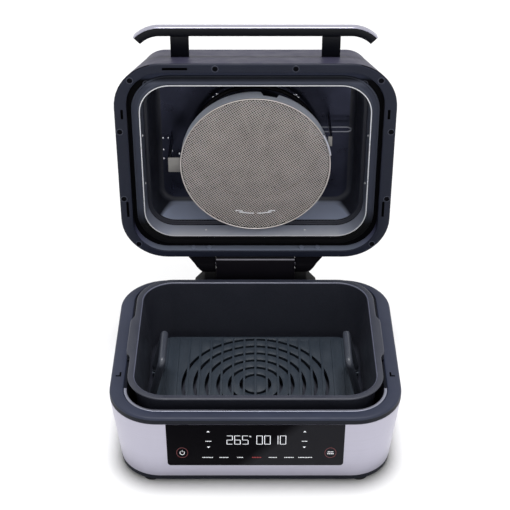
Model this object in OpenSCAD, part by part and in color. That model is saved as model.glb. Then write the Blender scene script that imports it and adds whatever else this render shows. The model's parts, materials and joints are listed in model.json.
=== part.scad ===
// Countertop air fryer grill with a hinged lid, drawn with the lid open.
// +X is to the right, +Y to the back and +Z up. The origin is on the table under the middle of the base.

/* [Base] */
// Width over the bezel
body_w = 400; // [370:1:440]
// Depth over the bezel
body_d = 321.5; // [310:0.5:360]
// Corner radius of the bezel seen from above
corner_r = 68; // [62:1:74]
// Height of a rubber foot
foot_h = 5; // [3:0.5:10]
// Diameter of a rubber foot
foot_d = 26; // [18:1:32]
// Height of the dark pan under the steel wrap
pan_h = 7; // [6:0.5:12]
// Floor thickness of the pan
pan_t = 2.5; // [2:0.25:3.5]
// Height of the steel wrap
wrap_h = 100; // [92:1:120]
// How far the wrap draws in at the bottom of each side
wrap_draft_side = 11; // [6:0.5:14]
// How far the wrap draws in at the bottom of the front and back
wrap_draft_front = 8; // [4:0.5:10]
// Sheet thickness of the wrap, the tub and the lid's liner
sheet_t = 1; // [0.6:0.1:1.4]
// Height of the bezel
bezel_h = 10; // [8:0.5:14]
// Width of the bezel's top at the sides
rim_side = 19.5; // [14:0.5:21]
// Width of the bezel's top at the front
rim_front = 16; // [14:0.5:19]
// How far the mouth sits behind the middle of the base
cavity_shift = 4; // [2:0.5:5]
// Width of the tub's bright lip
lip_w = 4.4; // [3.5:0.1:5]

/* [Control panel] */
// Width of the touch glass
panel_w = 240; // [200:1:260]
// Height of the touch glass
panel_h = 77.5; // [60:0.5:80]
// Radius of the glass's lower corners
panel_r = 5; // [4:0.5:18]
// How far the glass stands proud of the wrap
panel_proud = 0.7; // [0.3:0.1:1.5]
// Width of the digit display
display_w = 76; // [50:1:100]
// Height of the digit display
display_h = 24; // [16:1:30]

/* [Pot] */
// How far the pot's rim stands above the bezel
pot_stand = 12.5; // [10:0.5:14]
// Inner depth of the pot
pot_depth = 105.5; // [90:0.5:108]
// Width of the pot's rim
pot_rim_w = 9.5; // [8:0.25:11]
// Wall thickness of the pot
pot_wall = 2.5; // [2:0.25:3]
// Outer corner radius of the pot's rim
pot_r = 53; // [48:1:58]
// Lean of the pot's walls in degrees
pot_draft = 4.5; // [3:0.25:5]
// Half length of a side ear
ear_half = 40; // [25:1:55]

/* [Grill plate] */
// Gap from the plate's edge to the pot's wall at the floor
plate_gap = 9; // [8.5:0.25:12]
// Thickness of the plate between its ribs
plate_t = 5; // [4:0.25:7]
// Height of the plate's underside over the pot's floor
plate_lift = 11; // [8:0.5:16]
// Height of the ribs above the plate
rib_h = 4.5; // [3:0.25:6]
// Thickness of a rib
rib_t = 3; // [2:0.25:4]
// Gap from the outermost rib's middle to the plate's edge
rib_edge_gap = 15.8; // [14:0.2:20]
// Number of ribs on each side of the middle one
rib_side_count = 8; // [5:1:8]
// Radius of the smallest ring slot
slot_first_r = 21; // [18:0.5:24]
// Distance between ring slots
slot_pitch = 17; // [14:0.5:17]
// Number of ring slots
slot_count = 6; // [3:1:6]
// Width of a ring slot
slot_w = 5; // [3:0.25:6]
// Thickness of a plate handle's bar
grip_d = 11; // [6:0.25:12]
// Half length of a plate handle's grip
grip_half = 35; // [30:1:50]
// Height of a plate handle's grip above the plate
grip_h = 68; // [45:1:70]
// How far a plate handle leans in from foot to grip
grip_lean = 15.5; // [8:0.5:20]

/* [Lid] */
// Height of the lid over its rim
lid_h = 127.4; // [122:0.5:140]
// How far the lid's wall leans in per millimetre of height
lid_draft = 0.29; // [0.2:0.01:0.32]
// Radius of the lid's upper edge
lid_edge_r = 14; // [8:1:20]
// Wall thickness of the lid's shell
shell_t = 2.5; // [2:0.1:3]
// Gap between the shut lid and the bezel
lid_gap = 0.6; // [0.4:0.1:1.2]
// Width of the lid's rim at the sides
face_side = 18; // [16:0.5:18.5]
// Width of the lid's rim at the front
face_front = 13.5; // [12:0.5:15]
// Width of the lid's rim at the back
face_back = 11.5; // [10.5:0.5:13]
// Thickness of the lid's rim
face_t = 3.5; // [3:0.25:4]
// Thickness of the seal over the pot's rim
seal_t = 1.1; // [0.8:0.1:1.5]
// Depth of the liner from its lip to the step
liner_step_h = 28; // [22:1:32]
// Width of the step in the liner
liner_step_w = 6.5; // [4:0.5:8]
// Depth of the liner from the step to its top plate
liner_recess_h = 45; // [40:1:46]

/* [Lid handle] */
// Half length of the straight stretch of the bar
bar_half = 135.5; // [122:0.5:140]
// Radius of the bar's curved ends
bar_bend_r = 44; // [40:1:80]
// Sweep of the curved ends in degrees
bar_bend = 46; // [20:1:50]
// Thickness of the bar
bar_t = 12.5; // [10:0.5:14]
// Height of the bar
bar_h = 11; // [10:0.5:16]
// Thickness of the bright cover on the bar
cover_t = 1.25; // [1:0.25:3]
// Gap for fingers between the bar and the lid
finger_gap = 32.75; // [26:0.25:38]
// Height of the bar's underside above the lid's rim
bar_rise = 56; // [46:0.2:60]
// Distance of a handle post from the middle
post_x = 107.5; // [90:0.5:110]
// Width of a handle post
post_w = 26; // [20:0.5:30]

/* [Hinge] */
// How far the hinge axis lies behind the base
hinge_back = 21; // [20:0.5:26]
// How far the hinge axis lies above the bezel
hinge_up = 16.5; // [15.5:0.5:18]
// Diameter of the hinge pin
pin_d = 10; // [8:0.5:12]
// Half width of the hinge tower
tower_half = 60; // [50:1:64]
// Reach of the tower in front of and behind the axis
tower_reach = 16; // [14:0.5:18]
// Height of the tower above the axis
tower_up = 17; // [12:0.5:17]
// Radius of a hinge arm round the axis
arm_r = 14; // [12:0.5:14]
// Half width over the arms at the axis
arm_narrow = 78; // [74:0.5:90]
// Half width over the arms at the lid
arm_wide = 103; // [95:1:105]

/* [Guard and fan] */
// Gap between the splatter guard's skirt and the liner's lip at the front and back
guard_wall_gap = 16.45; // [12:0.05:22]
// Depth of the guard's skirt
guard_h = 22; // [16:0.5:22]
// Thickness of the guard's rolled rim
guard_rim_d = 3.2; // [2.4:0.1:4]
// How far the guard's face is recessed in the lid
guard_recess = 4.6; // [3:0.2:8]
// Gap between the circulation fan's tips and the heating element's tube
fan_gap = 15.7; // [10:0.1:30]
// Number of fan blades
fan_blades = 10; // [6:1:14]
// Diameter of the motor shaft
shaft_d = 8; // [6:0.5:10]
// How far the heating element's tube lies inside the guard's skirt
element_guard_gap = 10.7; // [8:0.1:14]
// Thickness of the heating element's tube
element_tube_d = 6.6; // [6:0.1:7.5]

/* [Hidden] */
$fn = 48;

// Segments in a quarter turn of a rounded outline
arc_steps = 10;
// Opening angle of the lid at rest
lid_open = 90;
// Clearance between pieces that slide over each other
slip = 0.4;
// Clearance between pieces that are screwed together
seat = 0.1;
// Radial clearance of a pin in its bore
fit = 0.05;
// Overlap that joins two shapes of one piece
bite = 0.5;
// Amount by which a cut runs past the face that it opens
past = 1;
// Swelling of the ball at a bend of a round bar
ball_swell = 1.06;

// Heights of the base
pan_z = foot_h;
wrap_z = pan_z + pan_h;
bezel_z = wrap_z + wrap_h;
top_z = bezel_z + bezel_h;

// Outlines of the base, each as half width, half depth, corner radius and shift to the back
half_w = body_w / 2;
half_d = body_d / 2;
body_outline = [half_w, half_d, corner_r, 0];
wrap_foot = [half_w - wrap_draft_side, half_d - wrap_draft_front,
             corner_r - (wrap_draft_side + wrap_draft_front) / 2, 0];
mouth_outline = [half_w - rim_side, half_d - rim_front + cavity_shift, corner_r - rim_side, cavity_shift];
tub_outline = grow(mouth_outline, -slip - lip_w);
ledge_outline = grow(tub_outline, sheet_t + slip);

// Pan
pan_wall = 3;
pan_lap = 6;
pan_outline = grow(wrap_foot, -sheet_t - slip);
boss_d = 12;
boss_h = 6.5;
inlet_side_count = 4;
inlet_pitch = 12;
inlet_size = [4, 40];
inlet_y = 50;
screw_d = 4;
screw_head_d = 8;
screw_head_h = 2;
base_screw_x = half_w * 0.55;
base_screw_y = half_d * 0.6;
foot_in = [45.5, 16.2];
foot_x = wrap_foot[0] - foot_in[0];
foot_y = wrap_foot[1] - foot_in[1];

// Tub in the base
tub_floor = pan_z + pan_t + boss_h;
tub_lip_top = top_z - sheet_t;
tub_lip_z = tub_lip_top - sheet_t;

// Pot
pot_top = top_z + pot_stand;
pot_floor = pot_top - pot_depth;
pot_end_gap = 4.7;
pot_side_gap = 0.2;
pot_rim = [tub_outline[0] - pot_side_gap, tub_outline[1] - pot_end_gap, pot_r, cavity_shift];
pot_rim_t = 3;
pot_rim_bevel = 1;
pot_mouth = grow(pot_rim, -pot_rim_w);
pot_base_r = 12;
ear_lap = 0.4;
ear_rest = tub_outline[0] + lip_w * ear_lap;
ear_over = 0.6;
ear_reach = mouth_outline[0] + ear_over;
ear_z = top_z + slip;
ear_root = 6;
ear_drop = 1;
tub_foot_gap = 4;
tub_foot = grow(pot_inside(pot_floor), pot_wall + tub_foot_gap);

// Grill plate
plate_outline = grow(pot_inside(pot_floor), -plate_gap);
plate_z = pot_floor + plate_lift;
rib_end_gap = 10;
rib_pitch = (plate_outline[0] - rib_edge_gap) / rib_side_count;
lug_in = 1;
lug_reach = 5;
lug_root = 18;
lug_half = 8;
lug_x = plate_outline[0] - lug_in;
lug_y = grip_half - 2;
rivet_d = 5;
rivet_head_d = 9;
rivet_head_h = 2;
rivet_end_h = 1.5;
foot_pad_d = 12;
foot_pad_h = 4;
plate_foot_d = 12;
plate_foot_in = [32, 26];
plate_foot_x = plate_outline[0] - plate_foot_in[0];
plate_foot_y = plate_outline[1] - plate_foot_in[1];

// Control panel on the leaning front of the wrap
front_lean = atan(wrap_draft_front / wrap_h);
panel_top_gap = 0.3;
carrier_lap = 6;
carrier_t = 2;
carrier_wall = 6;
skirt_h = 8;
skirt_t = 2;
carrier_top = -skirt_h - slip - 1;
board_top = carrier_top - 3;
board_t = 1.6;
buzzer_d = 12;
buzzer_h = 6;
carrier_front = -sheet_t - seat;
carrier_back = carrier_front - carrier_t;
board_front = carrier_back - carrier_wall;
display_y = -panel_top_gap - panel_h * 0.36;

// Power board beside the tub
power_len = 110;
power_h = 58;
power_part = 5;
power_x = tub_foot[0] + (wrap_foot[0] - tub_foot[0]) * 0.55;
power_clip = 6;
power_clip_t = 2;
power_clip_w = 8;
power_clip_x = board_t / 2 + seat + power_clip_t / 2;
relay_place = [-35, 22];
choke_place = [10, 24];
sensor_size = [10, 16, 8];
sensor_gap = 3;

// Hinge
hinge_y = half_d + hinge_back;
hinge_z = top_z + hinge_up;
pedestal_gap = 6.5;
pedestal_top = hinge_z - arm_r - pedestal_gap;
pedestal_front = half_d + seat;
pedestal_back = hinge_y + tower_reach;
pedestal_h = 64;
pedestal_slope_h = 18;
pedestal_flare = 16;
tower_edge_r = 4;
tower_cheek = 8;
housing_t = 3;
arm_gap = 1;
arm_screw_in = 9;
arm_screw_up = 5;
arm_screw_len = 16;
arm_in = tower_half + arm_gap;
arm_cap = 4;
pin_end = arm_narrow - arm_cap;
gland_d = 20;
gland_hole_d = 8;
gland_len = 9;
gland_x = 60;
gland_drop = 45;

// Lid, described shut
lid_z = top_z + lid_gap;
shell_z = lid_z + face_t;
lid_top = lid_z + lid_h;
channel_out = [half_w - face_side, half_d - (face_front + face_back) / 2, corner_r - face_side,
               (face_front - face_back) / 2];
channel_wall = 2;
seal_gap = 0.4;
ring_z = pot_top + seal_gap + seal_t;
seal_in = [1, 2];
ring_lap = 1.5;
ring_step = 1.6;
frame_floor_t = 2.4;
channel_z = ring_z + ring_step;
frame_top = channel_z + frame_floor_t;
channel_in = grow(pot_rim, ring_lap);
lip_z = pot_top + seal_gap;
lip_clear_side = 0.1;
lip_clear_end = 3.3;
liner_lip = [pot_mouth[0] - lip_clear_side - sheet_t, pot_mouth[1] - lip_clear_end - sheet_t, pot_mouth[2],
             cavity_shift];
liner_lean = 2.5;
recess_lean = 6.5;
liner_step_z = lip_z + liner_step_h;
liner_top = liner_step_z + liner_recess_h;
liner_step_out = grow(liner_lip, -liner_lean);
liner_step_in = grow(liner_step_out, -liner_step_w);
liner_end = grow(liner_step_in, -recess_lean);
flange_w = 9;
flange_t = 1.2 * sheet_t;
flange_z = frame_top + seat;
flange_lean = liner_lean * (frame_top - lip_z) / liner_step_h;
frame_hole = grow(liner_lip, sheet_t + slip);
liner_screw_d = 3;
liner_screw_len = 4.5;
liner_head_d = 6;
liner_head_h = 2;
vent_count = 9;
vent_pitch = 18;
vent_size = [5, 50];
vent_y = 40;

// Screws of the lid's rim, right half, as places on the middle of the rim
face_screw_d = 4;
face_head_d = 7;
face_head_h = 2;
face_screw_len = 9;
rim_boss_d = 6.4;
rim_screw_in = 6.4;
rim_slot_in = 11;
rim_screw_x = half_w - rim_screw_in;
rim_slot_x = half_w - rim_slot_in;
rim_mid_front = -half_d + face_front / 2;
rim_corner_front = 24.8;
rim_corner_back = 24.2;
rim_side_front = -55;
rim_side_back = 57;
rim_front_x = half_w * 0.28;
rim_slot_w = 3.7;
rim_slot_depth = 2;
front_slot = [half_w * 0.56, 35];
side_slot_front = [rim_side_front - 28, 15];
side_slot_back = [rim_side_back + 18, 26];

// Handle, described shut
bar_z = lid_z + bar_rise;
post_h = 10;
lid_wall_y = half_d - lid_draft * (bar_z + bar_h / 2 - shell_z);
bar_back_y = -lid_wall_y - finger_gap;
handle_screw_d = 5;
handle_head_d = 7;
handle_head_h = 3;
handle_screw_len = 30;

// Guard, fan and heater, described shut
guard_y = cavity_shift;
guard_r = liner_lip[1] - guard_wall_gap;
element_d = 2 * (guard_r - element_guard_gap) - element_tube_d;
fan_d = element_d - element_tube_d - 2 * fan_gap;
guard_face = lid_z + guard_recess;
guard_t = 1;
mesh_t = 1.2;
notch_left = 9;
notch_w = 22;
guard_bracket = [18, 24, 2];
bracket_rise = 4;
right_bracket_y = cavity_shift - 39;
right_bracket = [6, 16, 2];
fan_top_gap = 16;
fan_disc_t = 1.2;
fan_h = 22;
fan_hub_d = 28;
blade_t = 1.4;
blade_in = 26;
fan_disc_z = liner_top - fan_top_gap;
nut_d = 16;
nut_h = 6;
cool_fan_d = 96;
cool_fan_h = 7;
cool_blades = 8;
cool_fan_gap = 3;
cool_fan_z = liner_top + sheet_t + cool_fan_gap;
bracket_leg_x = cool_fan_d / 2 + 10;
bracket_foot = 14;
motor_plate_z = cool_fan_z + cool_fan_h + cool_fan_gap + bite;
motor_plate_t = 1.5;
motor_size = [66, 52, 13];
motor_z = motor_plate_z + motor_plate_t;
motor_bell_d = 40;
motor_bell_h = 4;
shaft_top = motor_z + motor_size[2] + motor_bell_h;
shaft_tip = 2;
shaft_hole_d = shaft_d + 4;
element_gap = 12;
element_z = liner_top - element_gap;
element_sweep = 345;
terminal_up = 10;
terminal_hole_d = element_tube_d + 2;
clip_size = [8, 12];
cutout_d = 15;
cutout_h = 9;
cutout_tab_t = 1;
probe_d = 2.6;
probe_y = right_bracket_y + 20;
probe_bend_r = 4;
probe_element_gap = 1.3;
probe_z = element_z - element_tube_d / 2 - probe_element_gap - probe_d / 2;
probe_root_gap = 7;
probe_wall_gap = 6;
probe_root_x = fan_d / 2 + probe_root_gap;
probe_tip_x = liner_end[0] - probe_wall_gap - probe_bend_r - probe_d / 2;
probe_plate = [6, 14, 3.5];

dark_plastic = "#3e424c";
black_plastic = "#24262c";
steel = "#c4c2cc";
coated = "#32333b";

// An outline that is larger all round by the given amount
function grow(o, by) = [o[0] + by, o[1] + by, o[2] + by, o[3]];

// Points of a rounded outline at height z, counter-clockwise seen from above
function ring(o, z) =
    [for (corner = [0:3], i = [0:arc_steps])
        let (a = 90 * (corner + i / arc_steps),
             right = corner == 0 || corner == 3 ? 1 : -1,
             back = corner < 2 ? 1 : -1)
        [right * (o[0] - o[2]) + o[2] * cos(a), o[3] + back * (o[1] - o[2]) + o[2] * sin(a), z]];

function flat(o) = [for (p = ring(o, 0)) [p[0], p[1]]];

// Two triangles for each step round two neighbouring rings
function ring_walls(a, b, n) =
    [for (i = [0:n - 1], half = [0, 1])
        let (j = (i + 1) % n)
        half == 0 ? [a * n + i, b * n + i, b * n + j] : [a * n + i, b * n + j, a * n + j]];

// Inside of the pot at a height
function pot_inside(z) = grow(pot_mouth, -(pot_top - z) * tan(pot_draft));

// Outside of the lid's shell at a height, drawn in by some amount
function lid_outline(z, inset) = grow(body_outline, -lid_draft * (z - shell_z) - inset);

// Solid through a row of rings, closed by a flat face at each end
module loft(rings) {
    n = len(rings[0]);
    last = (len(rings) - 1) * n;
    walls = [for (k = [0:len(rings) - 2]) each ring_walls(k, k + 1, n)];
    first_cap = [for (i = [1:n - 2]) [0, i, i + 1]];
    last_cap = [for (i = [1:n - 2]) [last, last + i + 1, last + i]];
    polyhedron([for (r = rings) each r], concat(walls, first_cap, last_cap));
}

// Band through a closed row of rings
module loft_band(rings) {
    n = len(rings[0]);
    m = len(rings);
    polyhedron([for (r = rings) each r], [for (k = [0:m - 1]) each ring_walls(k, (k + 1) % m, n)]);
}

// Flat plate of an outline between two heights
module plate(o, z0, z1) {
    translate([0, 0, z0]) linear_extrude(z1 - z0) polygon(flat(o));
}

// Flat frame between two outlines and two heights
module frame(outer, inner, z0, z1) {
    translate([0, 0, z0]) linear_extrude(z1 - z0) difference() {
        polygon(flat(outer));
        polygon(flat(inner));
    }
}

// Box by its low and high corners
module box(low, high) {
    translate(low) cube(high - low);
}

// Round bar between two points, with a ball at each end
module rod(from, to, d) {
    v = to - from;
    translate(from) rotate([0, acos(v[2] / norm(v)), atan2(v[1], v[0])]) cylinder(d = d, h = norm(v));
    translate(from) sphere(d = d * ball_swell);
    translate(to) sphere(d = d * ball_swell);
}

module both_sides() {
    children();
    mirror([1, 0, 0]) children();
}

// Places children on the leaning front: x to the right, y up from the wrap's top, z out of the front
module on_front() {
    translate([0, -half_d, bezel_z]) rotate([90 + front_lean, 0, 0]) children();
}

// Swings children from the shut lid to its rest position
module in_lid() {
    translate([0, hinge_y, hinge_z]) rotate([-lid_open, 0, 0]) translate([0, -hinge_y, -hinge_z]) children();
}

module at_base_screws() {
    for (x = [-1, 0, 1], y = [-1, 1]) translate([x * base_screw_x, y * base_screw_y, 0]) children();
}

module base_pan() color(black_plastic) {
    skin = grow(wrap_foot, -slip);
    inner = grow(pan_outline, -pan_wall);
    difference() {
        union() {
            plate(skin, pan_z, pan_z + pan_t);
            frame(skin, inner, pan_z, wrap_z);
            frame(pan_outline, inner, wrap_z - bite, wrap_z + pan_lap);
            at_base_screws() translate([0, 0, pan_z]) cylinder(d = boss_d, h = tub_floor - seat - pan_z);
            for (y = [-1, 1], side = [-1, 1])
                translate([power_x + side * power_clip_x, y * power_len * 0.4, pan_z])
                    linear_extrude(pan_t + power_clip) square([power_clip_t, power_clip_w], center = true);
        }
        at_base_screws() translate([0, 0, pan_z - past]) {
            cylinder(d = screw_d + 2 * fit, h = 2 * tub_floor);
            cylinder(d = screw_head_d + slip, h = screw_head_h + slip + past);
        }
        for (k = [-inlet_side_count:inlet_side_count], row = [-1, 1])
            translate([k * inlet_pitch, row * inlet_y, pan_z - past])
                linear_extrude(pan_t + 2 * past) square(inlet_size, center = true);
    }
}

// A foot near each corner and one under the middle of the pan
module feet() color("#1b1c20") {
    for (x = [-1, 1], y = [-1, 1]) translate([x * foot_x, y * foot_y, 0]) cylinder(d = foot_d, h = foot_h);
    cylinder(d = foot_d, h = foot_h);
}

module outer_wrap() color(steel) {
    difference() {
        loft_band([ring(wrap_foot, wrap_z), ring(body_outline, bezel_z),
                   ring(grow(body_outline, -sheet_t), bezel_z), ring(grow(wrap_foot, -sheet_t), wrap_z)]);
        on_front() translate([0, 0, -4 * sheet_t]) linear_extrude(8 * sheet_t) glass_outline(slip);
    }
}

// Outline of the touch glass, with rounded lower corners. With a clearance it is larger and open at the top.
module glass_outline(extra) {
    w = panel_w / 2 + extra;
    top = -panel_top_gap + (extra > 0 ? past : 0);
    low = -panel_top_gap - panel_h - extra;
    polygon(concat([[w, top], [-w, top]],
        [for (i = [0:arc_steps]) let (a = 180 + 90 * i / arc_steps)
            [-w + panel_r + panel_r * cos(a), low + panel_r + panel_r * sin(a)]],
        [for (i = [0:arc_steps]) let (a = 270 + 90 * i / arc_steps)
            [w - panel_r + panel_r * cos(a), low + panel_r + panel_r * sin(a)]]));
}

module top_bezel() color(dark_plastic) {
    skirt = grow(body_outline, -wrap_draft_side * skirt_h / wrap_h - sheet_t - slip);
    frame(body_outline, ledge_outline, bezel_z, tub_lip_z - seat);
    frame(body_outline, mouth_outline, tub_lip_z - seat - bite, top_z);
    frame(skirt, grow(skirt, -skirt_t), bezel_z - skirt_h, bezel_z + bite);
}

module cavity_liner() color("#8f919d") {
    difference() {
        loft([ring(grow(tub_foot, sheet_t), tub_floor), ring(grow(tub_outline, sheet_t), tub_lip_z),
              ring(grow(tub_outline, lip_w), tub_lip_z), ring(grow(tub_outline, lip_w), tub_lip_top),
              ring(tub_outline, tub_lip_top), ring(tub_foot, tub_floor + sheet_t)]);
        at_base_screws() translate([0, 0, tub_floor - past])
            cylinder(d = screw_d + 2 * fit, h = 2 * past + sheet_t);
    }
}

module control_glass() color("#121116") {
    on_front() translate([0, 0, carrier_front + fit]) linear_extrude(panel_proud - carrier_front - fit)
        glass_outline(0);
}

module panel_carrier() color(black_plastic) {
    w = panel_w / 2 + carrier_lap;
    low = -panel_top_gap - panel_h - carrier_lap;
    wall = [panel_w * 0.42, 2];
    on_front() difference() {
        union() {
            box([-w, low, carrier_back], [w, carrier_top, carrier_front]);
            for (side = [-1, 1]) translate([side * wall[0], (low + carrier_top) / 2, board_front])
                linear_extrude(carrier_wall + bite)
                    square([wall[1], (carrier_top - low) * 0.7], center = true);
        }
        translate([0, display_y, carrier_back - past]) linear_extrude(carrier_t + 2 * past)
            square([display_w + 2 * slip, display_h + 2 * slip], center = true);
    }
}

module display_module() color("#5a5650") {
    low = board_front + fit;
    on_front() translate([0, display_y, low]) linear_extrude(carrier_front - seat - low)
        square([display_w, display_h], center = true);
}

module control_board() color("#2f6a45") {
    w = panel_w * 0.45;
    low = -panel_top_gap - panel_h * 0.85;
    chip = [18, 18, 2.5];
    plug = [24, 8, 7];
    on_front() {
        box([-w, low, board_front - board_t], [w, board_top, board_front - fit]);
        translate([0, display_y, board_front - board_t]) {
            translate([-w / 3, 0, -chip[2] / 2]) cube(chip + [0, 0, bite], center = true);
            translate([w / 2, 0, -plug[2] / 2]) cube(plug + [0, 0, bite], center = true);
            translate([w * 0.8, 0, -buzzer_h]) cylinder(d = buzzer_d, h = buzzer_h + bite);
        }
    }
}

module power_board() color("#2f6a45") {
    x = power_x + board_t / 2;
    low = pan_z + pan_t + seat;
    relay = [power_part, 20, 16];
    choke = [power_part, 24, 22];
    box([x - board_t, -power_len / 2, low], [x, power_len / 2, low + power_h]);
    translate([x - bite, relay_place[0], low + relay_place[1]]) cube(relay + [bite, 0, 0]);
    translate([x - bite, choke_place[0], low + choke_place[1]]) cube(choke + [bite, 0, 0]);
}

module lid_sensor() color(black_plastic) {
    translate([ledge_outline[0] + sensor_gap, half_d * 0.25, bezel_z - sensor_size[2] - seat])
        cube(sensor_size);
}

module hinge_pedestal() color(dark_plastic) {
    wide = arm_narrow + pedestal_flare;
    shoulder = pedestal_top - pedestal_slope_h;
    low = pedestal_top - pedestal_h;
    deep = pedestal_back - pedestal_front;
    translate([0, pedestal_back, 0]) rotate([90, 0, 0]) difference() {
        linear_extrude(deep)
            polygon([[-arm_narrow, pedestal_top], [-wide, shoulder], [-wide, low], [wide, low],
                     [wide, shoulder], [arm_narrow, pedestal_top]]);
        translate([0, 0, housing_t]) linear_extrude(deep)
            polygon([[-arm_narrow + housing_t, pedestal_top - housing_t], [-wide + housing_t, shoulder],
                     [-wide + housing_t, low + housing_t], [wide - housing_t, low + housing_t],
                     [wide - housing_t, shoulder], [arm_narrow - housing_t, pedestal_top - housing_t]]);
    }
}

module hinge_tower() color("#151519") {
    front = hinge_y - tower_reach;
    back = hinge_y + tower_reach;
    low = pedestal_top + seat;
    high = hinge_z + tower_up - low;
    difference() {
        translate([-tower_half, 0, low]) rotate([90, 0, 90]) linear_extrude(2 * tower_half) union() {
            translate([front, 0]) square([back - front, high - tower_edge_r]);
            translate([front + tower_edge_r, 0]) square([back - front - 2 * tower_edge_r, high]);
            for (y = [front + tower_edge_r, back - tower_edge_r])
                translate([y, high - tower_edge_r]) circle(tower_edge_r);
        }
        box([-tower_half + tower_cheek, front + housing_t, low - past],
            [tower_half - tower_cheek, back - housing_t, low + high - housing_t]);
        on_axis(tower_half + past) cylinder(d = pin_d + 2 * fit, h = 2 * (tower_half + past));
    }
}

// Places children on the hinge axis, starting at the given distance left of the middle
module on_axis(start) {
    translate([-start, hinge_y, hinge_z]) rotate([0, 90, 0]) children();
}

module hinge_pin() color("#b9bac2") {
    on_axis(pin_end) cylinder(d = pin_d, h = 2 * pin_end);
}

module cord_gland() color("#1b1c20") {
    translate([gland_x, pedestal_back + seat, pedestal_top - gland_drop]) rotate([-90, 0, 0]) difference() {
        cylinder(d = gland_d, h = gland_len);
        translate([0, 0, gland_len / 3]) cylinder(d = gland_hole_d, h = gland_len);
    }
}

module base_screws() color("#8d8f96") {
    at_base_screws() {
        translate([0, 0, pan_z + slip]) cylinder(d = screw_head_d, h = screw_head_h);
        translate([0, 0, pan_z + slip]) cylinder(d = screw_d, h = tub_floor + 3 * sheet_t - pan_z);
    }
}

module cooking_pot() color(coated) {
    outer_r = pot_base_r + pot_wall;
    floor_in = pot_inside(pot_floor);
    under = pot_floor - pot_wall;
    rim_low = pot_top - pot_rim_t;
    rim_edge = pot_top - pot_rim_bevel;
    steps = [0:30:90];
    loft(concat(
        [for (a = steps)
            ring(grow(floor_in, pot_wall - outer_r * (1 - sin(a))), under + outer_r * (1 - cos(a)))],
        [ring(grow(pot_inside(rim_low), pot_wall), rim_low), ring(pot_rim, rim_low), ring(pot_rim, rim_edge),
         ring(grow(pot_rim, -pot_rim_bevel), pot_top), ring(grow(pot_mouth, pot_rim_bevel), pot_top),
         ring(pot_inside(rim_edge), rim_edge)],
        [for (a = steps)
            ring(grow(floor_in, -pot_base_r * (1 - cos(a))), pot_floor + pot_base_r * (1 - sin(a)))]));
    both_sides() {
        box([pot_rim[0] - ear_root, cavity_shift - ear_half, tub_lip_top + 2 * seat],
            [ear_rest, cavity_shift + ear_half, ear_z + bite]);
        box([pot_rim[0] - ear_root, cavity_shift - ear_half, ear_z],
            [ear_reach, cavity_shift + ear_half, pot_top - ear_drop]);
    }
}

module at_lugs() {
    for (y = [-1, 1]) translate([lug_x, cavity_shift + y * lug_y, plate_z]) children();
}

module grill_plate() color("#3c4650") {
    rib_half = plate_outline[1] - rib_end_gap;
    top = plate_z + plate_t;
    difference() {
        union() {
            difference() {
                plate(plate_outline, plate_z, top);
                for (k = [0:slot_count - 1]) translate([0, cavity_shift, plate_z - past])
                    rotate_extrude($fn = 72) translate([slot_first_r + k * slot_pitch - slot_w / 2, 0])
                        square([slot_w, plate_t + 2 * past]);
            }
            for (k = [-rib_side_count:rib_side_count])
                box([k * rib_pitch - rib_t / 2, cavity_shift - rib_half, plate_z],
                    [k * rib_pitch + rib_t / 2, cavity_shift + rib_half, top + rib_h]);
            both_sides() at_lugs() box([-lug_root, -lug_half, 0], [lug_reach, lug_half, plate_t]);
            for (x = [-1, 1], y = [-1, 1])
                translate([x * plate_foot_x, cavity_shift + y * plate_foot_y, pot_floor + 2 * seat])
                    cylinder(d = plate_foot_d, h = plate_lift + bite);
        }
        both_sides() at_lugs() translate([0, 0, -past])
            cylinder(d = rivet_d + 2 * fit, h = plate_t + 2 * past);
    }
}

// Loop handle on the right of the plate
module plate_handle() {
    foot_z = plate_z + plate_t + seat;
    grip_x = lug_x - grip_lean;
    grip_z = plate_z + plate_t + grip_h;
    difference() {
        union() {
            for (y = [-1, 1]) {
                foot_y = cavity_shift + y * lug_y;
                translate([lug_x, foot_y, foot_z]) cylinder(d = foot_pad_d, h = foot_pad_h);
                rod([lug_x, foot_y, foot_z + grip_d / 2],
                    [grip_x, cavity_shift + y * grip_half, grip_z], grip_d);
            }
            rod([grip_x, cavity_shift - grip_half, grip_z],
                [grip_x, cavity_shift + grip_half, grip_z], grip_d);
        }
        at_lugs() cylinder(d = rivet_d + 2 * fit, h = plate_t + foot_pad_h);
    }
}

module left_plate_handle() color(coated) mirror([1, 0, 0]) plate_handle();

module right_plate_handle() color(coated) plate_handle();

module plate_rivets() color("#a7a9b1") {
    both_sides() at_lugs() {
        translate([0, 0, -rivet_head_h - seat]) cylinder(d = rivet_head_d, h = rivet_head_h);
        translate([0, 0, -rivet_head_h - seat])
            cylinder(d = rivet_d, h = plate_t + foot_pad_h + rivet_end_h);
    }
}

// Places children at the screws of the lid's rim
module at_rim_screws() {
    both_sides() {
        translate([rim_front_x, rim_mid_front, lid_z]) children();
        translate([half_w - rim_corner_front, -half_d + rim_corner_front, lid_z]) children();
        translate([rim_screw_x, rim_side_front, lid_z]) children();
        translate([rim_screw_x, rim_side_back, lid_z]) children();
        translate([half_w - rim_corner_back, half_d - rim_corner_back, lid_z]) children();
    }
}

module rim_slot(x, y, w, d) {
    translate([x, y, lid_z]) cube([w, d, 2 * rim_slot_depth], center = true);
}

// Places children at the two screws of the right hinge arm, in the channel's back wall
module at_arm_screws() {
    for (x = [arm_in + arm_screw_in, arm_wide - arm_screw_in])
        translate([x, channel_out[3] + channel_out[1], shell_z + arm_screw_up])
            rotate([-90, 0, 0]) children();
}

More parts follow.
